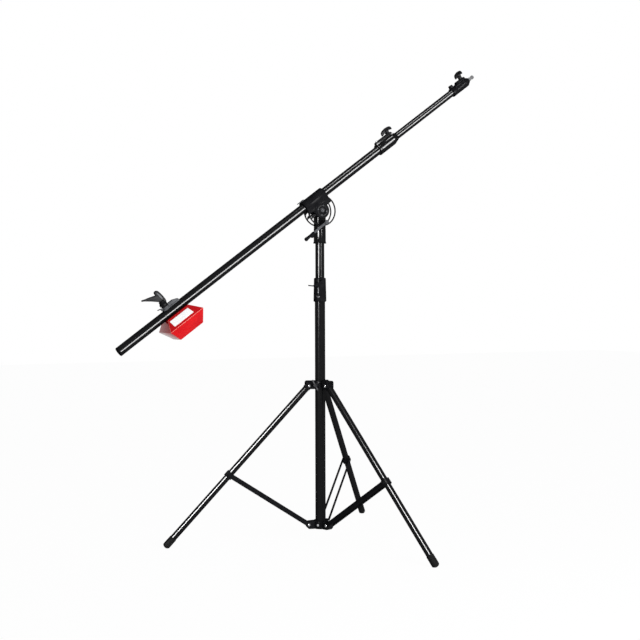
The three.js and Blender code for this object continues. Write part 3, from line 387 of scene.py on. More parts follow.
def axes(origin, x_axis, y_axis, z_axis):
    """A place from where its centre lies and where its three axes point."""
    turn = Matrix((x_axis, y_axis, z_axis)).transposed().to_4x4()
    return Matrix.Translation(origin) @ turn


rivet_bore, bolt_bore, pivot_bore = 0.0033, 0.0043, 0.0053
stand_up = spin(90, "X")
lie_along = spin(90, "Y")
casting = surface("satin_casting", (0.006, 0.006, 0.007), (0.011, 0.011, 0.012),
                  0.18, 0.08, 700, 0.04, 0.0008)
bright = surface("bright_steel", (0.34, 0.345, 0.35), (0.46, 0.465, 0.47), 0.12, 0.10, 500, 0.04, 0, 1)
leg_azimuths = {"a": 164.15, "b": 284.15, "c": 44.15}
joint_places = {joint["name"]: Vector(joint["pos_m"]) for joint in frame["joints"] if "pos_m" in joint}

hub_low, hub_high, hub_radius, bolt_azimuth = 0.049, 0.082, 0.027, 224.15
lug_reach, lug_half, lug_foot, pin_reach, pin_height = 0.057, 0.0143, 0.008, 0.0489, 0.0663
hub = ring("spreader_hub", [
    (0.0203, hub_low), (hub_radius - 0.001, hub_low), (hub_radius, hub_low + 0.001),
    (hub_radius, hub_high - 0.002), (hub_radius - 0.002, hub_high), (0.0203, hub_high),
])
lugs = []
for azimuth in leg_azimuths.values():
    lug = outlined("lug", [
        (0.0225, hub_low + 0.0004), (lug_reach - lug_foot, hub_low + 0.0004),
        (lug_reach, hub_low + lug_foot),
        *arc(lug_reach - lug_foot, 0.0703, lug_foot, 0, 90, 8), (hub_radius, hub_high - 0.002),
        (0.0225, hub_high - 0.002),
    ], [bore(pin_reach, pin_height, rivet_bore)], -lug_half, lug_half, 0.0012)
    lugs.append(placed(lug, upright(0, azimuth) @ stand_up))
pad = outlined("pad", [
    *arc(0.006, 0.072, 0.003, 0, 90, 4), *arc(-0.006, 0.072, 0.003, 90, 180, 4),
    *arc(-0.006, 0.060, 0.003, 180, 270, 4), *arc(0.006, 0.060, 0.003, 270, 360, 4),
], [], 0.0225, 0.031, 0.0008)
face_out = axes((0, 0, 0), (0, 1, 0), (0, 0, 1), (1, 0, 0))
hub = placed(hub, upright())
hub = joined(hub, [*lugs, placed(pad, upright(0, bolt_azimuth) @ face_out)])
keep(eased(hub, 0.0005, 40), casting, "column_base", "black_casting", "spreader_hub")


def hexagon_head(name, radius, height):
    """A hexagon bolt head on its washer face, its crown turned off at thirty degrees."""
    washer = solid(name, [(radius * 0.95, 0), (radius * 0.95, height * 0.12)], 24)
    flats = solid("flats", [(radius, height * 0.1), (radius, height * 0.82), (radius * 0.8, height)], 6)
    return eased(joined(washer, [flats]), 0.0003, 25)


hub_bolt = hexagon_head("hub_bolt", 0.0045, 0.0036)
bolt_seat = upright(0.0655, bolt_azimuth) @ shift(0.0313) @ lie_along
keep(placed(hub_bolt, bolt_seat), bright, "column_base", "bright_steel", "hub_clamp_bolt")

# Telescope collar: a black casting over the joint of the two column tubes, slit down its
# side so that the lock lever's screw can pinch it, with a steel key in the slit, and a
# rivet and a steel clip under it.
collar_low, collar_high, collar_round = 0.931, 1.024, 0.004
collar = ring("column_collar", [
    (0.0203, collar_low), *arc(0.021, 0.935, collar_round, -90, 0, 6), (0.0246, 0.960), (0.0240, 0.985),
    *arc(0.0192, 1.020, collar_round, 0, 90, 6), (0.0178, collar_high), (0.0178, 0.9903), (0.0203, 0.9903),
])
lock_place = upright(1.008, 260)
lock_boss = placed(solid("boss", [(0.008, 0.0215), (0.008, 0.0282), (0.0072, 0.029)], 48, tip=0.001),
                   lock_place @ lie_along)
lock_hole = hole(bolt_bore, 0.010, 0.035, lock_place @ lie_along)
slit_place = upright(0, 227) @ face_out
slit = outlined("slit", [
    *arc(0, 0.985, 0.0008, 0, 180, 6), *arc(0, 0.963, 0.0008, 180, 360, 6),
], [], 0.0222, 0.030, 0)
collar = joined(placed(collar, upright()), [lock_boss])
collar = joined(collar, [lock_hole, placed(slit, slit_place)], "DIFFERENCE")
keep(eased(collar, 0.0004, 40), casting, "column_base", "black_casting", "column_collar")

slit_rivet = turned("collar_rivet", [
    (0.0004, 0), (0.0050, 0), (0.0050, 0.0006), (0.0042, 0.0012), (0.0024, 0.0016), (0.0004, 0.0017),
], 32)
slit_rivet = placed(slit_rivet, upright(0.9545, 227) @ shift(0.0242) @ lie_along)
keep(eased(slit_rivet, 0), casting, "column_base", "black_casting")
key_steel = surface("dull_steel", (0.30, 0.30, 0.31), (0.42, 0.42, 0.43), 0.4, 0.2, 500, 0.02, 0.001)
slit_key = outlined("collar_key", [
    *arc(0, 0.984, 0.0010, 0, 180, 6), *arc(0, 0.964, 0.0010, 180, 360, 6),
], [], 0.0225, 0.0249, 0.0002)
keep(eased(placed(slit_key, slit_place), 0), key_steel, "column_base", "bright_steel")
clip_arc = outlined("collar_clip", [
    *arc(0, 0.9555, 0.0073, 205, 335, 14), *arc(0, 0.9555, 0.0054, 335, 205, 14),
], [], 0.0232, 0.0256, 0.0003)
keep(eased(placed(clip_arc, slit_place), 0), key_steel, "column_base", "bright_steel")

# Column lock lever: a moulded blade, thin and swept down, on a steel screw that pinches
# the collar when it is turned.
lock_screw = solid("column_lock_lever", [
    (0.004, 0.0178), (0.004, 0.0292), (0.007, 0.0295), (0.007, 0.0372), (0.0062, 0.038),
], 48)
blade = outlined("blade", [
    (0.004, 0.0052), (-0.006, 0.0030), (-0.018, -0.0035), (-0.030, -0.0108), (-0.040, -0.0142),
    (-0.052, -0.0133),
    *arc(-0.0570, -0.0146, 0.0021, 80, 280, 8), (-0.046, -0.0180), (-0.036, -0.0190),
    (-0.026, -0.0164), (-0.014, -0.0098),
    (-0.005, -0.0068), (0.004, -0.0052),
], [], 0.034, 0.038, 0.0010)
lock_lever = joined(placed(lock_screw, lock_place @ lie_along),
                    [placed(blade, lock_place @ face_out)])
keep(eased(lock_lever, 0.0003, 45), moulding, "column_lock", "black_plastic", "column_lock_lever")

# Leg collar: a black casting that slides on the column and opens the legs. Three forked
# ears hold the legs' top plugs on steel rivets, and a small wing screw locks it.
ear_low, ear_high, ear_outer, hinge_reach, hinge_height = 0.592, 0.625, 0.0173, 0.0465, 0.605
leg_collar = ring("leg_collar", [
    (0.0203, ear_low), (0.026, ear_low), (0.027, ear_low + 0.001), (0.027, ear_high - 0.0015),
    (0.0255, ear_high), (0.0203, ear_high),
])
ears, slots = [], []
for azimuth in leg_azimuths.values():
    ear = outlined("ear", [
        (0.0225, ear_low + 0.0004), *arc(0.051, 0.6000, 0.0078, -90, 0, 8),
        *arc(0.051, 0.6170, 0.0078, 0, 90, 8),
        (0.0225, ear_high - 0.0004),
    ], [bore(hinge_reach, hinge_height, rivet_bore)], -ear_outer, ear_outer, 0.0012)
    ears.append(placed(ear, upright(0, azimuth) @ stand_up))
    slot = outlined("slot", [(0.0271, 0.590), (0.0620, 0.590), (0.0620, 0.6185), (0.0271, 0.6185)], [],
                    -0.0128, 0.0128, 0)
    slots.append(placed(slot, upright(0, azimuth) @ stand_up))
leg_lock_place = upright(0.6085, 218)
leg_boss = placed(solid("boss", [(0.007, 0.0215), (0.007, 0.0402), (0.0062, 0.041)], 48, tip=0.001),
                  leg_lock_place @ lie_along)
leg_hole = hole(0.0038, 0.010, 0.047, leg_lock_place @ lie_along)
leg_collar = joined(placed(leg_collar, upright()), [*ears, leg_boss])
leg_collar = joined(leg_collar, [*slots, leg_hole], "DIFFERENCE")
keep(eased(leg_collar, 0.0005, 40), casting, "leg_slider", "black_casting", "leg_collar")

wing_turn = spin(30, "X")
wing_hub = solid("leg_wing_screw", [
    (0.0035, 0.0203), (0.0035, 0.0413), (0.007, 0.0416), (0.0062, 0.0458), (0.007, 0.0494),
    (0.0062, 0.0503),
], 48)
wings = outlined("wings", [
    (0.0040, -0.004), (0.0040, 0.004), (0.0034, 0.012), *arc(0, 0.0206, 0.0034, 0, 180, 10),
    (-0.0034, 0.012),
    (-0.0040, 0.004), (-0.0040, -0.004), (-0.0034, -0.012), *arc(0, -0.0206, 0.0034, 180, 360, 10),
    (0.0034, -0.012),
], [], 0.0444, 0.0503, 0.0014)
wing_screw_place = leg_lock_place @ wing_turn
wings = placed(wings, wing_screw_place @ face_out)
leg_wing = joined(placed(wing_hub, wing_screw_place @ lie_along), [wings])
# Painted light: a lighter copy of the black moulding, standing in for light on the wing screw, which is the
# same black plastic.
lit_black_moulding = surface("lit_black_moulding", (0.020, 0.020, 0.022), (0.040, 0.040, 0.043),
                        0.34, 0.14, 900, 0.06, 0.003)
keep(eased(leg_wing, 0.0003, 45), lit_black_moulding, "leg_lock", "black_plastic", "leg_lock_screw")


def rivet(name, half):
    """A rivet along Y: a shank with a low domed head closed over at each end."""
    dome = [
        (0.005, 0), (0.005, 0.0008), (0.0046, 0.0015), (0.0034, 0.0021), (0.0018, 0.0024),
        (0.0004, 0.0024),
    ]
    lower = [(radius, -half - height) for radius, height in reversed(dome)]
    upper = [(radius, half + height) for radius, height in dome]
    return turned(name, [*lower, (0.003, -half), (0.003, half), *upper], 32)


for letter, azimuth in leg_azimuths.items():
    pin = rivet("leg_rivet_" + letter, 0.0176)
    pin_place = upright(hinge_height, azimuth) @ shift(hinge_reach) @ stand_up
    keep(eased(placed(pin, pin_place), 0), bright, "leg_slider", "bright_steel", "leg_pin_" + letter)

# Legs: 25 mm steel tubes in gloss black enamel. A moulded top plug carries each on its
# hinge rivet, a rubber foot with a flat sole closes the lower end, and a moulded clip
# half way down holds the brace rivets.
leg_radius, leg_length, leg_slope, clip_station = 0.0125, 0.811, 47.3, 0.4582
rubber = surface("foot_rubber", (0.008, 0.008, 0.008), (0.013, 0.013, 0.013), 0.6, 0.2, 1100, 0.2, 0.001)
for letter, azimuth in leg_azimuths.items():
    slope = upright(hinge_height, azimuth) @ shift(hinge_reach) @ spin(leg_slope, "Y")
    body = "leg_" + letter
    leg_tube = tube("leg_" + letter + "_tube", leg_radius, thin_wall, 0.0143, leg_length - 0.005)
    keep(eased(placed(leg_tube, slope @ lie_along), 0), enamel, body, "black_tube", "leg_tube_" + letter)

    tongue = outlined("tongue", [
        *arc(0, 0, 0.0122, 90, 270, 16), (0.0138, -0.0122), (0.0138, 0.0122),
    ], [bore(0, 0, rivet_bore)], -0.0122, 0.0122, 0.0010)
    spigot = solid("spigot", [(0.0110, 0.007), (0.0110, 0.037), (0.0100, 0.038)], 48)
    top_plug = joined(placed(tongue, slope @ stand_up), [placed(spigot, slope @ lie_along)])
    top_plug.name = "leg_" + letter + "_top_plug"
    keep(eased(top_plug, 0.0004, 40), moulding, body, "black_plastic", "leg_plug_" + letter)

    nose = [
        (0.0140 * math.sin(math.radians(a)), leg_length + 0.0090 * math.cos(math.radians(a)))
        for a in range(90, 2, -11)
    ]
    foot = ring("leg_" + letter + "_foot", [
        (0.0128, 0.7732), (0.0134, 0.7730), (0.0140, 0.7738), (0.0140, 0.7790), (0.0136, 0.7796),
        (0.0136, 0.7812), (0.0140, 0.7818), (0.0140, 0.7870), (0.0136, 0.7876), (0.0136, 0.7892),
        (0.0140, 0.7898), *nose, (0.0004, leg_length + 0.0090), (0.0004, 0.8063), (0.0128, 0.8063),
    ], 64)
    foot = placed(foot, slope @ lie_along)
    sawn((0, 0, 0), (0, 0, 1), clear_inner=True)
    keep(eased(foot, 0.0003, 40), rubber, body, "foot_rubber", "leg_foot_" + letter)

    clip = outlined("leg_" + letter + "_clip", [
        (-0.0143, -0.0105), (-0.0103, -0.0145), (0.0103, -0.0145), (0.0143, -0.0105),
        (0.0143, 0.0105), (0.0103, 0.0145), (-0.0103, 0.0145), (-0.0143, 0.0105),
    ], [bore(0, 0, 0.0128, 60)], -0.012, 0.012, 0.0008)
    keep(eased(placed(clip, slope @ shift(clip_station) @ face_out), 0.0004, 50), moulding, body,
         "black_plastic", "brace_clip_" + letter)

# Braces: flat steel bars in satin black, one each side of every leg, riveted to the leg's
# clip and hung from the spreader hub's lugs.
brace_length, brace_slope, brace_half = 0.36859, 33.22, 0.0085
for letter, azimuth in leg_azimuths.items():
    foot_pin = upright(pin_height, azimuth) @ shift(pin_reach)
    rise = foot_pin @ spin(-brace_slope, "Y")
    for side, sign in (("left", 1), ("right", -1)):
        bar = outlined("brace_" + side + "_bar_" + letter, [
            *arc(0, 0, brace_half, 90, 270, 12), *arc(brace_length, 0, brace_half, -90, 90, 12),
        ], [bore(0, 0, rivet_bore)], 0.0146, 0.0166, 0.0004)
        across = stand_up if sign < 0 else spin(-90, "X")
        head = turned("head", [
            (0.0004, 0.0156), (0.005, 0.0156), (0.005, 0.0172), (0.0042, 0.0182), (0.0026, 0.0189),
            (0.0004, 0.0190),
        ], 32)
        head = placed(head, shift(brace_length))
        bar = joined(bar, [head])
        keep(eased(placed(bar, rise @ across), 0.0002, 45), casting, "brace_" + letter, "black_casting",
             "brace_" + side + "_" + letter)
    brace_pin = rivet("brace_rivet_" + letter, 0.0169)
    keep(eased(placed(brace_pin, foot_pin @ stand_up), 0), bright, "column_base", "bright_steel",
         "brace_pin_" + letter)

# Upper column: a 35 mm tube in gloss black enamel that slides in the lower one on a
# moulded bush, out of sight inside it.
upper_tube = placed(tube("upper_column_tube", 0.0175, thin_wall, 0.330, 1.198), upright())
keep(eased(upper_tube, 0), enamel, "column_upper", "black_tube", "column_upper_tube")
guide_bush = ring("column_bush", [
    (0.0130, 0.3120), (0.0176, 0.3120), (0.0182, 0.3126), (0.0182, 0.3297), (0.0160, 0.3297),
    (0.0160, 0.3514), (0.0154, 0.3520), (0.0130, 0.3520),
])
keep(eased(placed(guide_bush, upright()), 0.0003), moulding, "column_upper", "black_plastic",
     "column_guide_bush")

# Head socket: a black casting that drops over the top of the column and turns on it, with
# the thick block above that the two slotted plates close on, and a steel stop screw.
pivot_height, clamp_height, block_round = 1.285, 1.237, 0.0190
socket = ring("head_socket", [
    (0.0178, 1.1580), (0.0248, 1.1580), (0.0255, 1.1587), (0.0250, 1.1606), (0.0235, 1.1650),
    (0.0235, 1.2085), *arc(0.0195, 1.2110, 0.0040, 0, 90, 6), (0.0006, 1.2150), (0.0006, 1.1983),
    (0.0178, 1.1983),
])
block = outlined("block", [
    (-0.0180, 1.2100), (0.0180, 1.2100), (block_round, 1.2700),
    *arc(0, pivot_height, block_round, 0, 180, 24), (-block_round, 1.2700),
], [bore(0, pivot_height, pivot_bore), bore(0, clamp_height, bolt_bore)], -0.0159, 0.0159, 0.0010)
stop_place = upright(1.180, 60) @ lie_along
screw_hole = hole(bolt_bore, 0.012, 0.030, stop_place)
socket = joined(placed(socket, upright()), [placed(block, upright() @ stand_up)])
socket = joined(socket, [screw_hole], "DIFFERENCE")
keep(eased(socket, 0.0005, 40), enamel, "head", "black_casting", "head_socket")

stop_shank = solid("socket_stop_screw", [(0.004, 0.0178), (0.004, 0.0262)], 32)
stop_head = placed(hexagon_head("stop_head", 0.006, 0.0036), shift(0, 0, 0.0258))
stop_screw = placed(joined(stop_shank, [stop_head]), stop_place)
keep(eased(stop_screw, 0), bright, "head", "bright_steel", "socket_screw")

# Half-moon plates: two 3 mm plates cut with one long curved slot each. They tilt with the
# boom on the pivot bolt, and the clamp bolt through both slots nips them to the block.
along = Vector(next(joint["axis"] for joint in frame["joints"] if joint["name"] == "boom_slide"))
above = along.cross(Vector((0, 1, 0)))
above = above if above.z > 0 else -above
cradle_place = axes(joint_places["boom_tilt"], along, (0, 1, 0), above)
plate_inner, plate_outer = 0.0162, 0.0192
plate_radius = 0.0610
slot_inner, slot_outer, slot_start, slot_stop = 0.0315, 0.0560, 6, -188
slot_middle, slot_half = (slot_inner + slot_outer) / 2, (slot_outer - slot_inner) / 2
saddle_floor = 0.0275
plate_top = saddle_floor - 0.0003
top_angle = math.degrees(math.asin(plate_top / plate_radius))


def round_end(angle, inwards):
    """The half circle that closes the slot at one of its ends."""
    centre = math.radians(angle)
    across, along = slot_middle * math.cos(centre), slot_middle * math.sin(centre)
    return arc(across, along, slot_half, angle, angle + inwards, 12)


slot_line = [
    *arc(0, 0, slot_outer, slot_start, slot_stop, 72), *round_end(slot_stop, -180)[1:],
    *arc(0, 0, slot_inner, slot_stop, slot_start, 60)[1:], *round_end(slot_start + 180, -180)[1:-1],
]
for side, near, node in (
    ("front", -plate_outer, "sector_plate_front"), ("back", plate_inner, "sector_plate_back"),
):
    plate = outlined("half_moon_" + side, arc(0, 0, plate_radius, 180 - top_angle, 360 + top_angle, 108),
                     [slot_line, bore(0, 0, pivot_bore)], -near - 0.003, -near, 0.0004)
    keep(eased(placed(plate, cradle_place @ stand_up), 0), casting, "cradle", "black_casting", node)

# Hub discs: a turned disc with four grey socket screws on the outside of each plate, cut
# flat under the saddle, with the grey pivot bolt through their middle.
zinc = surface("grey_zinc", (0.065, 0.067, 0.072), (0.125, 0.128, 0.136), 0.30, 0.14, 420, 0.02, 0.002)
dark_zinc = surface("dark_zinc", (0.055, 0.056, 0.060), (0.090, 0.092, 0.098), 0.24, 0.14, 420, 0.02, 0.003)
for side, node in (("front", "hub_disc_front"), ("back", "hub_disc_back")):
    face = spin(90 if side == "front" else -90, "X")
    disc = ring("pivot_disc_" + side, [
        (0.0053, 0.0195), (0.0302, 0.0195), (0.031, 0.0203), (0.031, 0.0215), (0.0302, 0.0222),
        (0.0270, 0.0225), (0.0262, 0.0220), (0.0130, 0.0220), (0.0122, 0.0225), (0.0053, 0.0225),
    ], 96)
    screws = []
    for angle in (45, 135, 225, 315):
        screw = solid("screw", [
            (0.003, 0.0216), (0.003, 0.0246), (0.0026, 0.0252), (0.0014, 0.0252), (0.0012, 0.0236),
        ], 24, tip=0.0004)
        screws.append(placed(screw, spin(angle, "Z") @ shift(0.019)))
    screws = placed(joined(screws[0], screws[1:]), cradle_place @ face)
    screws.name = "pivot_disc_screws_" + side
    keep(eased(screws, 0), zinc, "cradle", "grey_metal")
    disc = placed(disc, cradle_place @ face)
    sawn(cradle_place @ Vector((0, 0, plate_top)), above, clear_outer=True)
    keep(eased(disc, 0.0002, 45), casting, "cradle", "black_casting", node)

across_head = upright(pivot_height) @ stand_up
pivot_bolt = solid("pivot_bolt", [(0.005, -0.0245), (0.005, 0.0245)], 48)
pivot_head = placed(hexagon_head("bolt_head", 0.008, 0.005), shift(0, 0, 0.0228))
pivot_nut = placed(hexagon_head("bolt_nut", 0.008, 0.005), spin(180, "X") @ shift(0, 0, 0.0228))
pivot_bolt = placed(joined(pivot_bolt, [pivot_head, pivot_nut]), across_head)
keep(eased(pivot_bolt, 0), dark_zinc, "head", "grey_metal", "tilt_pivot_bolt")

across_clamp = upright(clamp_height) @ stand_up
clamp_bolt = solid("clamp_bolt", [
    (0.0125, -0.0220), (0.0135, -0.0212), (0.0135, -0.0195), (0.004, -0.0195), (0.004, 0.0159),
])
clamp_nut = placed(hexagon_head("nut", 0.0072, 0.0064), spin(180, "X") @ shift(0, 0, 0.0217))
clamp_bolt = placed(joined(clamp_bolt, [clamp_nut]), across_clamp)
keep(eased(clamp_bolt, 0.0002, 45), dark_zinc, "head", "grey_metal", "tilt_clamp_bolt")
clamp_washer = ring("clamp_washer", [
    (0.0043, 0.0195), (0.0128, 0.0195), (0.0135, 0.0202), (0.0135, 0.0213), (0.0126, 0.0220),
    (0.0043, 0.0220),
])
keep(eased(placed(clamp_washer, across_clamp), 0), casting, "head", "black_casting", "tilt_clamp_washer")

# Tilt lever: a black cross hub on the clamp bolt's thread with a grey cap, a flat dark
# zinc bar through it, and a moulded thumb grip pressed over the bar's end.
lever_place = axes(
    joint_places["tilt_lever_turn"], (-0.788011, 0, -0.615661), (0, 1, 0), (0.615661, 0, -0.788011),
)
lever_hub = solid("tilt_lever_bar", [
    (0.0078, -0.0596), (0.0078, -0.0560), (0.0085, -0.0550), (0.0085, -0.0290), (0.0106, -0.0236),
    (0.0106, -0.0226), (0.004, -0.0226), (0.004, -0.0162),
], 48)
lever_hub = placed(lever_hub, lever_place @ spin(-90, "X"))
lever_bar = outlined("tilt_lever_flat_bar", [
    *arc(0.006, 0, 0.0045, 90, 270, 12), *arc(0.074, 0, 0.0045, -90, 90, 12),
], [], 0.0545, 0.0595, 0.0010)
keep(eased(lever_hub, 0.0003, 45), casting, "tilt_lever", "black_casting", "tilt_lever_bar")
keep(eased(placed(lever_bar, lever_place @ stand_up), 0.0003, 45), dark_zinc, "tilt_lever", "grey_metal")
hub_cap = turned("tilt_lever_cap", [
    (0.0005, -0.0620), (0.0072, -0.0620), (0.0085, -0.0608), (0.0085, -0.0600), (0.0005, -0.0598),
], 48)
hub_cap = placed(hub_cap, lever_place @ spin(-90, "X"))
keep(eased(hub_cap, 0.0002, 45), zinc, "tilt_lever", "grey_metal")

grip = solid("tilt_lever_grip", [
    (0.0058, 0.0700), (0.0065, 0.0707), (0.0065, 0.0765), (0.0058, 0.0850), (0.0057, 0.0950),
    (0.0066, 0.1060), (0.0075, 0.1115), (0.0070, 0.1150), (0.0055, 0.1172), (0.0030, 0.1180),
], 48)
grip_spine = axes((0, -0.057, 0), (0, 0, 1), (0, -1, 0), (1, 0, 0))
thumb_rest = outlined("thumb", [
    (0.0733, 0.000), (0.0755, 0.0060), (0.0785, 0.0110), (0.0830, 0.0130), (0.0870, 0.0122),
    (0.0910, 0.0085),
    (0.0934, 0.000),
], [], 0.0545, 0.0595, 0.0009)
pocket = outlined("pocket", [
    *arc(0.006, 0, 0.0048, 90, 270, 12), *arc(0.074, 0, 0.0048, -90, 90, 12),
], [], 0.0542, 0.0598, 0)
grip = joined(placed(grip, lever_place @ grip_spine), [placed(thumb_rest, lever_place @ stand_up)])
grip = joined(grip, [placed(pocket, lever_place @ stand_up)], "DIFFERENCE")
keep(eased(grip, 0.0003, 45), moulding, "tilt_lever", "black_plastic", "tilt_lever_grip")

# Saddle: a black casting folded round the boom tube, square below where the half-moon
# plates bolt on. A low thumb tab on a screw at its rear end locks the tube.
boom_place = axes(joint_places["stud_turn"], along, (0, 1, 0), above)
along_boom = boom_place @ lie_along
saddle_outer, saddle_rear, saddle_front, saddle_skirt = 0.0245, -0.053, 0.053, -0.0195
saddle = outlined("saddle", [
    (-saddle_outer, saddle_skirt), (-saddle_outer, 0), *arc(0, 0, saddle_outer, 180, 0, 48)[1:],
    (saddle_outer, saddle_skirt),
], [bore(0, 0, 0.0178, 60)], saddle_rear, saddle_front, 0.0009)
tab_place = boom_place @ shift(-0.040)
saddle_hole = hole(0.0038, 0.010, 0.030, tab_place)
saddle = joined(placed(saddle, boom_place @ face_out), [saddle_hole], "DIFFERENCE")
saddle.name = "saddle"
keep(eased(saddle, 0.0005, 40), casting, "cradle", "black_casting", "cradle_saddle")

tab_hub = solid("boom_clamp_screw", [
    (0.0035, 0.0178), (0.0035, 0.0248), (0.007, 0.0248), (0.007, 0.0271), (0.0063, 0.0278),
], 40)
tab = outlined("tab", [
    (0, -0.0035), (0, 0.0035), (-0.0235, 0.0035), *arc(-0.0235, 0, 0.0035, 90, 270, 10),
], [], 0.0256, 0.0278, 0.0005)
boom_screw = joined(placed(tab_hub, tab_place), [placed(tab, tab_place)])
keep(eased(boom_screw, 0.0002, 45), zinc, "boom_lock", "grey_metal", "boom_clamp_screw")

# Boom: a 35 mm steel tube in gloss black enamel with a pressed-in tail cap, clamped by the
# saddle in its middle and free to slide through it.
boom_tube = placed(tube("boom_tube_main", 0.0175, thin_wall, -0.9637, 0.448), along_boom)
keep(eased(boom_tube, 0), enamel, "boom_main", "black_tube", "boom_tube")
tail_cap = turned("boom_tail_cap_moulding", [
    (0.0004, -0.9660), (0.0110, -0.9665), (0.0135, -0.9680), (0.0160, -0.9680), (0.0172, -0.9674),
    (0.0175, -0.9664), (0.0175, -0.9642), (0.0173, -0.9640), (0.0159, -0.9640), (0.0159, -0.9490),
    (0.0150, -0.9480), (0.0004, -0.9480),
])
keep(eased(placed(tail_cap, along_boom), 0.0002, 50), moulding, "boom_main", "black_plastic",
     "boom_tail_cap")

# Extension collar: a black casting over the tube's front end, drawn down to the extension
# tube in a taper, with a raised boss along its top for the wing knob and a steel stop
# screw behind it.
ex_collar = ring("extension_collar_casting", [
    (0.0178, 0.3630), (0.0220, 0.3630), (0.0230, 0.3640), (0.0230, 0.3720), (0.0226, 0.3726),
    (0.0226, 0.3746), (0.0230, 0.3752), (0.0230, 0.4440), (0.0228, 0.4455), (0.0165, 0.4673),
    (0.0158, 0.4680), (0.01455, 0.4680), (0.01455, 0.4483), (0.0178, 0.4483),
])
boss = outlined("boss", [
    (0.366, 0.0180), (0.366, 0.0220), *arc(0.375, 0.0220, 0.009, 180, 90, 8), (0.453, 0.031),
    (0.462, 0.0175),
], [], -0.009, 0.009, 0.0016)
knob_station = 0.441
knob_hole = hole(bolt_bore, 0.0100, 0.0350, shift(knob_station))
ex_collar = joined(placed(ex_collar, lie_along), [placed(boss, stand_up)])
ex_collar = joined(ex_collar, [knob_hole], "DIFFERENCE")
keep(eased(placed(ex_collar, boom_place), 0.0005, 35), enamel, "boom_main", "black_casting",
     "extension_collar")
boss_screw = solid("boss_stop_screw", [
    (0.0050, 0.0290), (0.0050, 0.0330), (0.0042, 0.0344), (0.0024, 0.0350),
], 32)
boss_screw = placed(boss_screw, boom_place @ shift(0.378))
keep(eased(boss_screw, 0), bright, "boom_main", "bright_steel")


def wing_knob(name, shank, seat, lift, turn):
    """A moulded wing knob along Z: a waisted hub, and two arched wings lifted over its seat."""
    root = seat + lift
    hub = solid(name, [
        (0.004, shank), (0.004, seat), (0.0080, seat), (0.0085, seat + 0.0006), (0.0084, seat + 0.0016),
        (0.0088, root), (0.0104, root + 0.0030), (0.0104, root + 0.0110), (0.0090, root + 0.0130),
    ], 40)
    half = raised(root, [
        (0.0030, 0.0030), (0.0085, 0.0058), (0.0150, 0.0044), (0.0220, 0.0022), (0.0285, 0.0002),
        (0.0298, 0.0012), (0.0300, 0.0050), (0.0293, 0.0105), (0.0270, 0.0138), (0.0220, 0.0172),
        (0.0150, 0.0190), (0.0080, 0.0198), (0.0018, 0.0204),
    ])
    half += [(-across, rise) for across, rise in reversed(half)]
    wings = outlined("wings", half, [], -0.004, 0.004, 0.0015)
    return placed(joined(hub, [placed(wings, stand_up)]), spin(turn, "Z"))


extension_knob = wing_knob("extension_wing_knob", 0.0178, 0.0313, 0.003, 8)
extension_knob = placed(extension_knob, boom_place @ shift(knob_station))
keep(eased(extension_knob, 0.0004, 40), moulding, "extension_lock", "black_plastic", "extension_knob")

# Extension: a slimmer gloss black tube that slides out of the boom on a moulded bush, out
# of sight inside it.
extension = placed(tube("boom_extension_tube", 0.01425, thin_wall, 0.060, 0.835), along_boom)
keep(eased(extension, 0), enamel, "boom_extension", "black_tube", "extension_tube")
inner_bush = ring("extension_bush", [
    (0.0100, 0.0420), (0.0154, 0.0420), (0.0160, 0.0426), (0.0160, 0.0597), (0.0127, 0.0597),
    (0.0127, 0.0814), (0.0121, 0.0820), (0.0100, 0.0820),
])
keep(eased(placed(inner_bush, along_boom), 0.0003), moulding, "boom_extension", "black_plastic",
     "extension_guide_bush")

# Head casting: a black casting shrunk on the extension's end, with a flat for the stud's
# wing knob, a drawn-in nose, and a ribbed clamp nut near its rear edge.
head_casting = ring("head_casting_body", [
    (0.01455, 0.8080), (0.0181, 0.8080), (0.0190, 0.8089), (0.0190, 0.8290), (0.0186, 0.8297),
    (0.0186, 0.8315), (0.0190, 0.8322), (0.0190, 0.8950), (0.0186, 0.8964), (0.0117, 0.9090),
    (0.0108, 0.9100), (0.0083, 0.9100), (0.0083, 0.8353), (0.01455, 0.8353),
])
pad = outlined("pad", [
    (0.8390, 0.0110), (0.8500, 0.0250), (0.8950, 0.0250), (0.9000, 0.0110),
], [], -0.009, 0.009, 0.0014)
stud_station = 0.880
stud_hole = hole(bolt_bore, 0.0050, 0.0300, shift(stud_station))
stud_bore = hole(0.0083, 0.8200, 0.9000, lie_along, 48)
head_casting = joined(placed(head_casting, lie_along), [placed(pad, stand_up)])
head_casting = joined(head_casting, [stud_hole, stud_bore], "DIFFERENCE")
keep(eased(placed(head_casting, boom_place), 0.0005, 35), casting, "boom_extension", "black_casting",
     "head_casting")

nut_pairs = [(0.010, 0.0193)]
for step in range(3):
    low = 0.0193 + step * 0.003
    nut_pairs += raised(low, [(0.010, 0.0018), (0.0088, 0.0022), (0.0088, 0.0028), (0.010, 0.0030)])
ring_nut = solid("ribbed_nut", nut_pairs[:-1] + [(0.0080, 0.0283)], 48)
keep(eased(placed(ring_nut, boom_place @ shift(0.8181)), 0.0001), casting, "boom_extension",
     "black_casting", "casting_nut")

# Stud: a 16 mm polished steel spigot with a turned groove, held in the head casting by a
# second wing knob.
spigot = solid("stud_spigot_steel", [
    (0.0080, 0.8420), (0.0080, 0.9220), (0.0055, 0.9235), (0.0055, 0.9295), (0.0080, 0.9310),
    (0.0080, 0.9385), (0.0065, 0.9400),
], 64, tip=0.0004)
stud_steel = surface("stud_steel", (0.20, 0.203, 0.208), (0.29, 0.294, 0.30), 0.16, 0.10, 500, 0.04, 0, 1)
keep(eased(placed(spigot, along_boom), 0.0003), stud_steel, "stud_spigot", "bright_steel", "stud")
stud_knob = wing_knob("stud_wing_knob", 0.0083, 0.0253, 0.011, 21)
stud_knob = placed(stud_knob, boom_place @ shift(stud_station))
keep(eased(stud_knob, 0.0004, 40), moulding, "stud_lock", "black_plastic", "stud_knob")
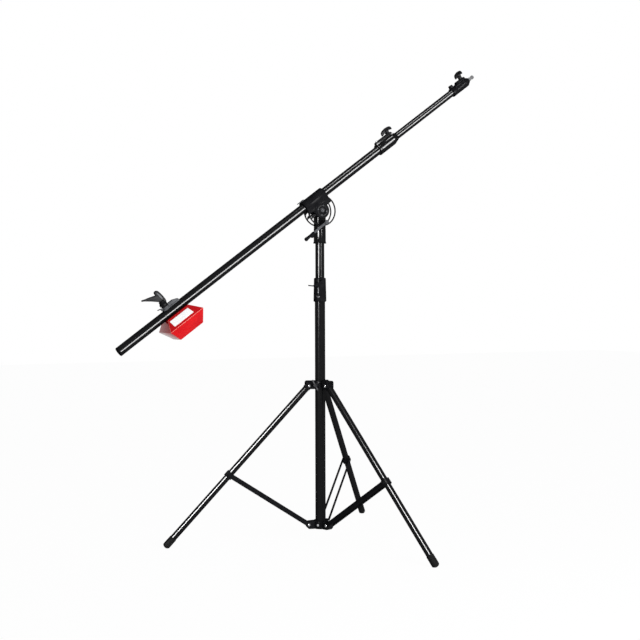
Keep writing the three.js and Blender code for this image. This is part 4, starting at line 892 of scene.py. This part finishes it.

# Counterweight block: a faceted casting in gloss red enamel, widest at its middle. Its
# ridges carry a pale pink painted highlight, and the tube lies in a trough along its top.
red_enamel = surface("red_enamel", (0.42, 0.0040, 0.0075), (0.50, 0.0080, 0.0100), 0.14, 0.06, 260, 0.004)
tree = red_enamel.node_tree
glance = wired(tree, "Fresnel", {"IOR": 1.5})
grazing = wired(tree, "Math", {0: glance.outputs["Fac"], 1: 0.037}, "SUBTRACT")
tree.links.new(grazing.outputs[0], tree.nodes["Mix Shader"].inputs["Fac"])
# Painted highlight: a pale pink red that stands in for the lamps' glint along the block's ridges.
ridge_highlight_paint = surface("red_painted_highlight", (0.86, 0.24, 0.20), (0.92, 0.42, 0.36),
                      0.14, 0.06, 260, 0.004, 0.004)
weight_place = boom_place @ shift(-0.712)
weight_levels = [(-0.0975, 0.053, 0.0375), (-0.0485, 0.077, 0.064), (-0.013, 0.048, 0.028)]
block_mesh = bpy.data.meshes.new("red_counterweight")
corners, faces = [], []
for height, half_length, half_width in weight_levels:
    for along_sign, across_sign in ((-1, -1), (1, -1), (1, 1), (-1, 1)):
        corners.append((along_sign * half_length, across_sign * half_width, height))
faces.append((3, 2, 1, 0))
for row in (0, 4):
    for side in range(4):
        after = (side + 1) % 4
        faces.append((row + side, row + after, row + after + 4, row + side + 4))
faces.append((8, 9, 10, 11))
block_mesh.from_pydata(corners, [], faces)
red_block = linked("red_counterweight", block_mesh)
trough = hole(0.0178, -0.080, 0.080, lie_along, 96)
red_block = eased(joined(red_block, [trough], "DIFFERENCE"), 0.0016, 10, 4)
ridge, crown = Vector((0, -0.064, -0.0485)), Vector((0, -0.028, -0.013))
tail_ridge, tail_crown = Vector((-0.077, -0.064, -0.0485)), Vector((-0.048, -0.028, -0.013))
keep(placed(red_block, weight_place), red_enamel, "counterweight", "red_paint", "counterweight_block")
# The second slot holds the painted highlight; the bevel faces along the ridges and the upper slopes'
# tail-side edges take it.
red_block.data.materials.append(ridge_highlight_paint)
for face in red_block.data.polygons:
    spot = weight_place.inverted() @ face.center
    spot.y = -abs(spot.y)
    on_ridge = math.hypot(spot.y - ridge.y, spot.z - ridge.z) < 0.0017
    on_edge = (spot - tail_ridge).cross((tail_crown - tail_ridge).normalized()).length < 0.0017
    face.material_index = int(on_ridge or on_edge)

# Label: a blank white sticker on the near upper slope of the block. It carries no words,
# name or mark of any maker.
paper_white = surface("label_paper", (0.86, 0.86, 0.85), (0.93, 0.93, 0.92), 0.35, 0.10, 300, 0.01, 0.001)
uphill = (crown - ridge).normalized()
outward = Vector((1, 0, 0)).cross(uphill)
label_face = axes(tuple(ridge), (1, 0, 0), tuple(uphill), tuple(outward))
label = outlined("blank_label", [
    *arc(-0.0465, 0.0128, 0.002, 180, 270, 5), *arc(0.0380, 0.0128, 0.002, 270, 360, 5),
    *arc(0.0350, 0.0385, 0.002, 0, 90, 5), *arc(-0.0465, 0.0385, 0.002, 90, 180, 5),
], [], 0.0001, 0.0005, 0)
keep(eased(placed(label, weight_place @ label_face), 0), paper_white, "counterweight", "red_paint")

# Yoke: a grey zinc hook that stands on the block behind the tube and folds over it, with
# a sloped rib along its top, a round boss for the wing screw and a small lock lever.
yoke_outer, yoke_inner, yoke_foot, yoke_station = 0.0225, 0.0178, -0.0127, -0.0205
yoke = outlined("yoke", [
    (0.0080, yoke_foot), (yoke_outer, yoke_foot), *arc(0, 0, yoke_outer, 0, 118, 40), (0, 0),
], [], -0.034, 0.037, 0.0010)
yoke_boss = solid("boss", [(0.0120, 0.0150), (0.0120, 0.0270), (0.0110, 0.0280)], 48)
yoke_rib = outlined("rib", [
    (-0.0145, 0.0150), (-0.0145, 0.0240), (-0.0082, 0.0240), (-0.0082, 0.0312), (-0.0074, 0.0320),
    (0.0170, 0.0320),
    (0.0360, 0.0248), (0.0370, 0.0238), (0.0370, 0.0150),
], [], -0.008, 0.008, 0.0007)
yoke_bore = hole(yoke_inner, -0.045, 0.045, lie_along, 96)
yoke_hole = hole(bolt_bore, 0.0050, 0.0350, shift(yoke_station))
yoke = joined(placed(yoke, face_out), [placed(yoke_boss, shift(yoke_station)), placed(yoke_rib, stand_up)])
yoke = joined(yoke, [yoke_bore, yoke_hole], "DIFFERENCE")
yoke.name = "counterweight_yoke_casting"
keep(eased(placed(yoke, weight_place), 0.0005, 35), zinc, "counterweight", "grey_metal",
     "counterweight_yoke")

small_lever = outlined("counterweight_lock_tab", [
    (-0.0330, 0.0200), (-0.0325, 0.0262), (-0.0345, 0.0300), (-0.0400, 0.0318), (-0.0500, 0.0338),
    (-0.0518, 0.0328),
    (-0.0506, 0.0310), (-0.0430, 0.0290), (-0.0400, 0.0262), (-0.0395, 0.0205), (-0.0360, 0.0190),
], [], -0.0035, 0.0035, 0.0006)
small_lever = placed(placed(small_lever, stand_up), weight_place)
keep(eased(small_lever, 0.0002, 45), zinc, "counterweight", "grey_metal")

# Wing screw: a moulded hub with a long blade that rises towards the tail, and a tall loop
# with a long eye that leans the other way.
screw_seat = 0.0283
screw_hub = solid("counterweight_wing_screw", [(0.004, 0.0178), *raised(screw_seat, [
    (0.004, 0), (0.0112, 0), (0.0120, 0.0010), (0.0120, 0.0045), (0.0148, 0.0055), (0.0150, 0.0105),
    (0.0132, 0.0140), (0.0112, 0.0170), (0.0106, 0.0228), (0.0092, 0.0240),
])], 48)
blade = outlined("blade", raised(screw_seat, [
    (0.0040, 0.0190), (-0.0050, 0.0225), (-0.0120, 0.0290), (-0.0300, 0.0440), (-0.0480, 0.0575),
    (-0.0560, 0.0628), *arc(-0.0565, 0.0660, 0.0030, 250, 95, 8), (-0.0460, 0.0652), (-0.0295, 0.0610),
    (-0.0090, 0.0546), (0.0040, 0.0500),
]), [], -0.0045, 0.0045, 0.0018)
eye_line, tilt = [], math.radians(12)
for angle in range(0, 360, 15):
    wide, tall = 0.0040 * math.cos(math.radians(-angle)), 0.0170 * math.sin(math.radians(-angle))
    eye_line.append((0.0065 + wide * math.cos(tilt) - tall * math.sin(tilt),
                     screw_seat + 0.0420 + wide * math.sin(tilt) + tall * math.cos(tilt)))
loop = outlined("loop", raised(screw_seat, [
    (-0.0010, 0.0110), (-0.0045, 0.0450), (-0.0058, 0.0580), (-0.0045, 0.0640), (0.0000, 0.0667),
    (0.0060, 0.0662), (0.0110, 0.0620), (0.0145, 0.0520), (0.0172, 0.0360), (0.0182, 0.0220),
    (0.0165, 0.0120), (0.0110, 0.0090),
]), [eye_line], -0.0045, 0.0045, 0.0016)
wing_screw = joined(screw_hub, [placed(blade, stand_up), placed(loop, stand_up)])
screw_place = weight_place @ shift(yoke_station)
keep(eased(placed(wing_screw, screw_place), 0.0004, 40), moulding, "counterweight_lock", "black_plastic",
     "counterweight_screw")
# A web that closes the loop's eye as its channel does; its pale grey is a painted highlight, standing in
# for the gloss inside the loop.
eye_highlight_web = placed(outlined("wing_screw_eye_web", eye_line, [], -0.0025, 0.0025, 0.0003), screw_place @ stand_up)
keep(eased(eye_highlight_web, 0), zinc, "counterweight_lock", "grey_metal")

# Light links: they do what dark boards between the lamps and the stand would do, so that
# each strip lamp draws its streak on its own tubes alone.
for strip, bodies in (
    (boom_strip, ("boom_main", "boom_extension", "extension_lock", "stud_lock", "counterweight_lock")),
    (top_strip, ("boom_main", "boom_extension")),
    (column_strip, ("column_base", "column_lock", "column_upper", "head")),
    (side_strip, ("column_upper", "head")),
    (saddle_strip, ("cradle",)),
    (left_leg_strip, ("leg_a", "leg_slider", "leg_lock")),
    (front_leg_strip, ("leg_b",)),
):
    strip.visible_diffuse = False
    lit = bpy.data.collections.new(strip.name + "_lit")
    for body in bodies:
        for piece in riders[body]:
            lit.objects.link(piece)
    strip.light_linking.receiver_collection = lit
